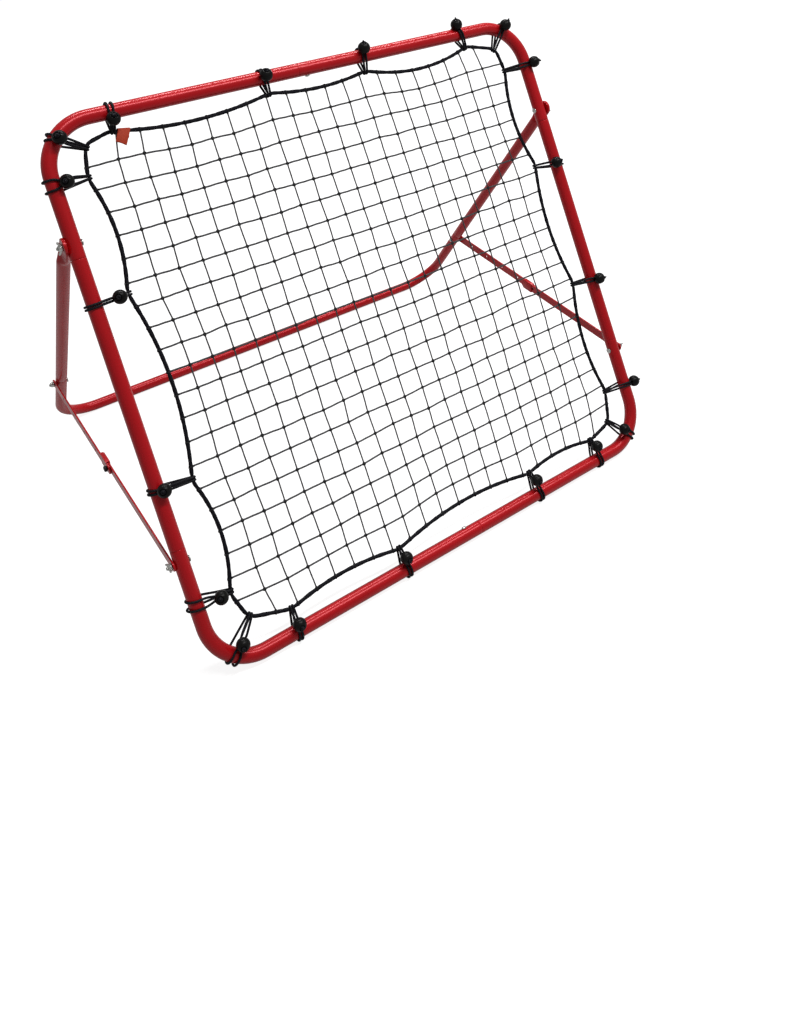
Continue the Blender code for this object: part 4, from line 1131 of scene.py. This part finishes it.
# Tag: a ribbon folded over the rope, its longer flap in front
def tag_sheet():
    x = hooks["bungee_top_1"]["rope"][0] + 0.0165
    before, point, after = (rope_cross(x + step, 0, False) for step in (-0.01, 0, 0.01))
    slope = atan2(after[1] - before[1], after[0] - before[0])
    radius = ROPE_RADIUS + 0.0009
    profile = [(radius + 0.0004 + 0.0012 * (1 - k / 5), -TAG_BACK * (1 - k / 6)) for k in range(6)]
    profile += [(radius * cos(pi * k / 14), radius * sin(pi * k / 14)) for k in range(15)]
    profile += [(-radius - 0.0010 * sin(k / 12 * pi), -TAG_FRONT * k / 12) for k in range(1, 13)]
    rows = []
    for behind, up in profile:
        row = []
        for m in range(15):
            f = m / 14 - 0.5
            drop = max(0.0, -up)
            curl = 0.0010 * cos(2 * pi * f) * drop / 0.02
            askew = 0.36 + 0.16 * f if behind < 0 else 0.10
            row.append((f * TAG_WIDTH - drop * askew, behind - curl, up - drop * 0.34 * f * (behind < 0)))
        rows.append(row)
    rows = np.array(rows)
    shape = Shape()
    far = lengths(rows[:, 7])
    shape.grid(rows, far, TAG_WIDTH * np.arange(15) / 14, close_around=False)
    matrix = M_FRAME @ Matrix.Translation((x, 0, point[1])) @ Matrix.Rotation(-slope, 4, "Y")
    made = place("tag", "ribbon", TAG, shape.mesh("tag_ribbon", matrix))
    thick = made.modifiers.new("thick", "SOLIDIFY")
    thick.thickness = 0.0005
    thick.offset = 1


tag_sheet()


# Floor, world and lights
def seen_by_eye(tree):
    """1 for camera rays, less for glossy and transmission rays, 0 for the light that falls on the object."""
    ray = tree.nodes.new("ShaderNodeLightPath").outputs
    mirrored = math_node(tree, "MAXIMUM", ray["Is Glossy Ray"], ray["Is Transmission Ray"])
    return math_node(tree, "MAXIMUM", ray["Is Camera Ray"], math_node(tree, "MULTIPLY", mirrored, MIRRORED_WHITE))


def floor_paint():
    paint = Paint("floor", (0.40, 0.40, 0.40), 0.9, specular=0.0)
    glow = paint.node("ShaderNodeEmission", Color=(1, 1, 1, 1))
    paint.link(math_node(paint.tree, "MULTIPLY", seen_by_eye(paint.tree), FLOOR_GLOW), glow.inputs["Strength"])
    both = paint.node("ShaderNodeAddShader")
    paint.link(paint.shader.outputs[0], both.inputs[0])
    paint.link(glow.outputs[0], both.inputs[1])
    paint.link(both.outputs[0], paint.tree.nodes["Material Output"].inputs["Surface"])
    return paint.made


size = 12.0
floor_mesh = bpy.data.meshes.new("floor")
floor_mesh.from_pydata([(-size, -size, 0), (size, -size, 0), (size, size, 0), (-size, size, 0)], [], [(0, 1, 2, 3)])
floor_mesh.materials.append(floor_paint())
floor = add_object("floor", floor_mesh)
floor.location.z = -0.0002

world = bpy.data.worlds.new("studio")
bpy.context.scene.world = world
world.use_nodes = True
tree = world.node_tree
sky = tree.nodes["Background"]
sky.inputs["Color"].default_value = (1, 1, 1, 1)
strength = math_node(tree, "MULTIPLY_ADD", seen_by_eye(tree), 1 - WORLD_LIGHT, WORLD_LIGHT)
tree.links.new(strength, sky.inputs["Strength"])


def area_light(name, spot, target, wide, long, power):
    light = bpy.data.lights.new(name, "AREA")
    light.shape = "RECTANGLE"
    light.size = wide
    light.size_y = long
    light.energy = power
    made = add_object(name, light)
    made.location = spot
    made.rotation_mode = "QUATERNION"
    made.rotation_quaternion = (Vector(target) - Vector(spot)).to_track_quat("-Z", "Y")


area_light("strip_behind", (1.1, 1.65, 3.5), (1.1, 0, 0.4), 3.2, 0.08, 76)
area_light("strip_front", (1.1, -1.1, 3.5), (1.1, -0.1, 0.4), 3.2, 0.08, 76)

scene = bpy.context.scene
scene.view_settings.view_transform = "Standard"
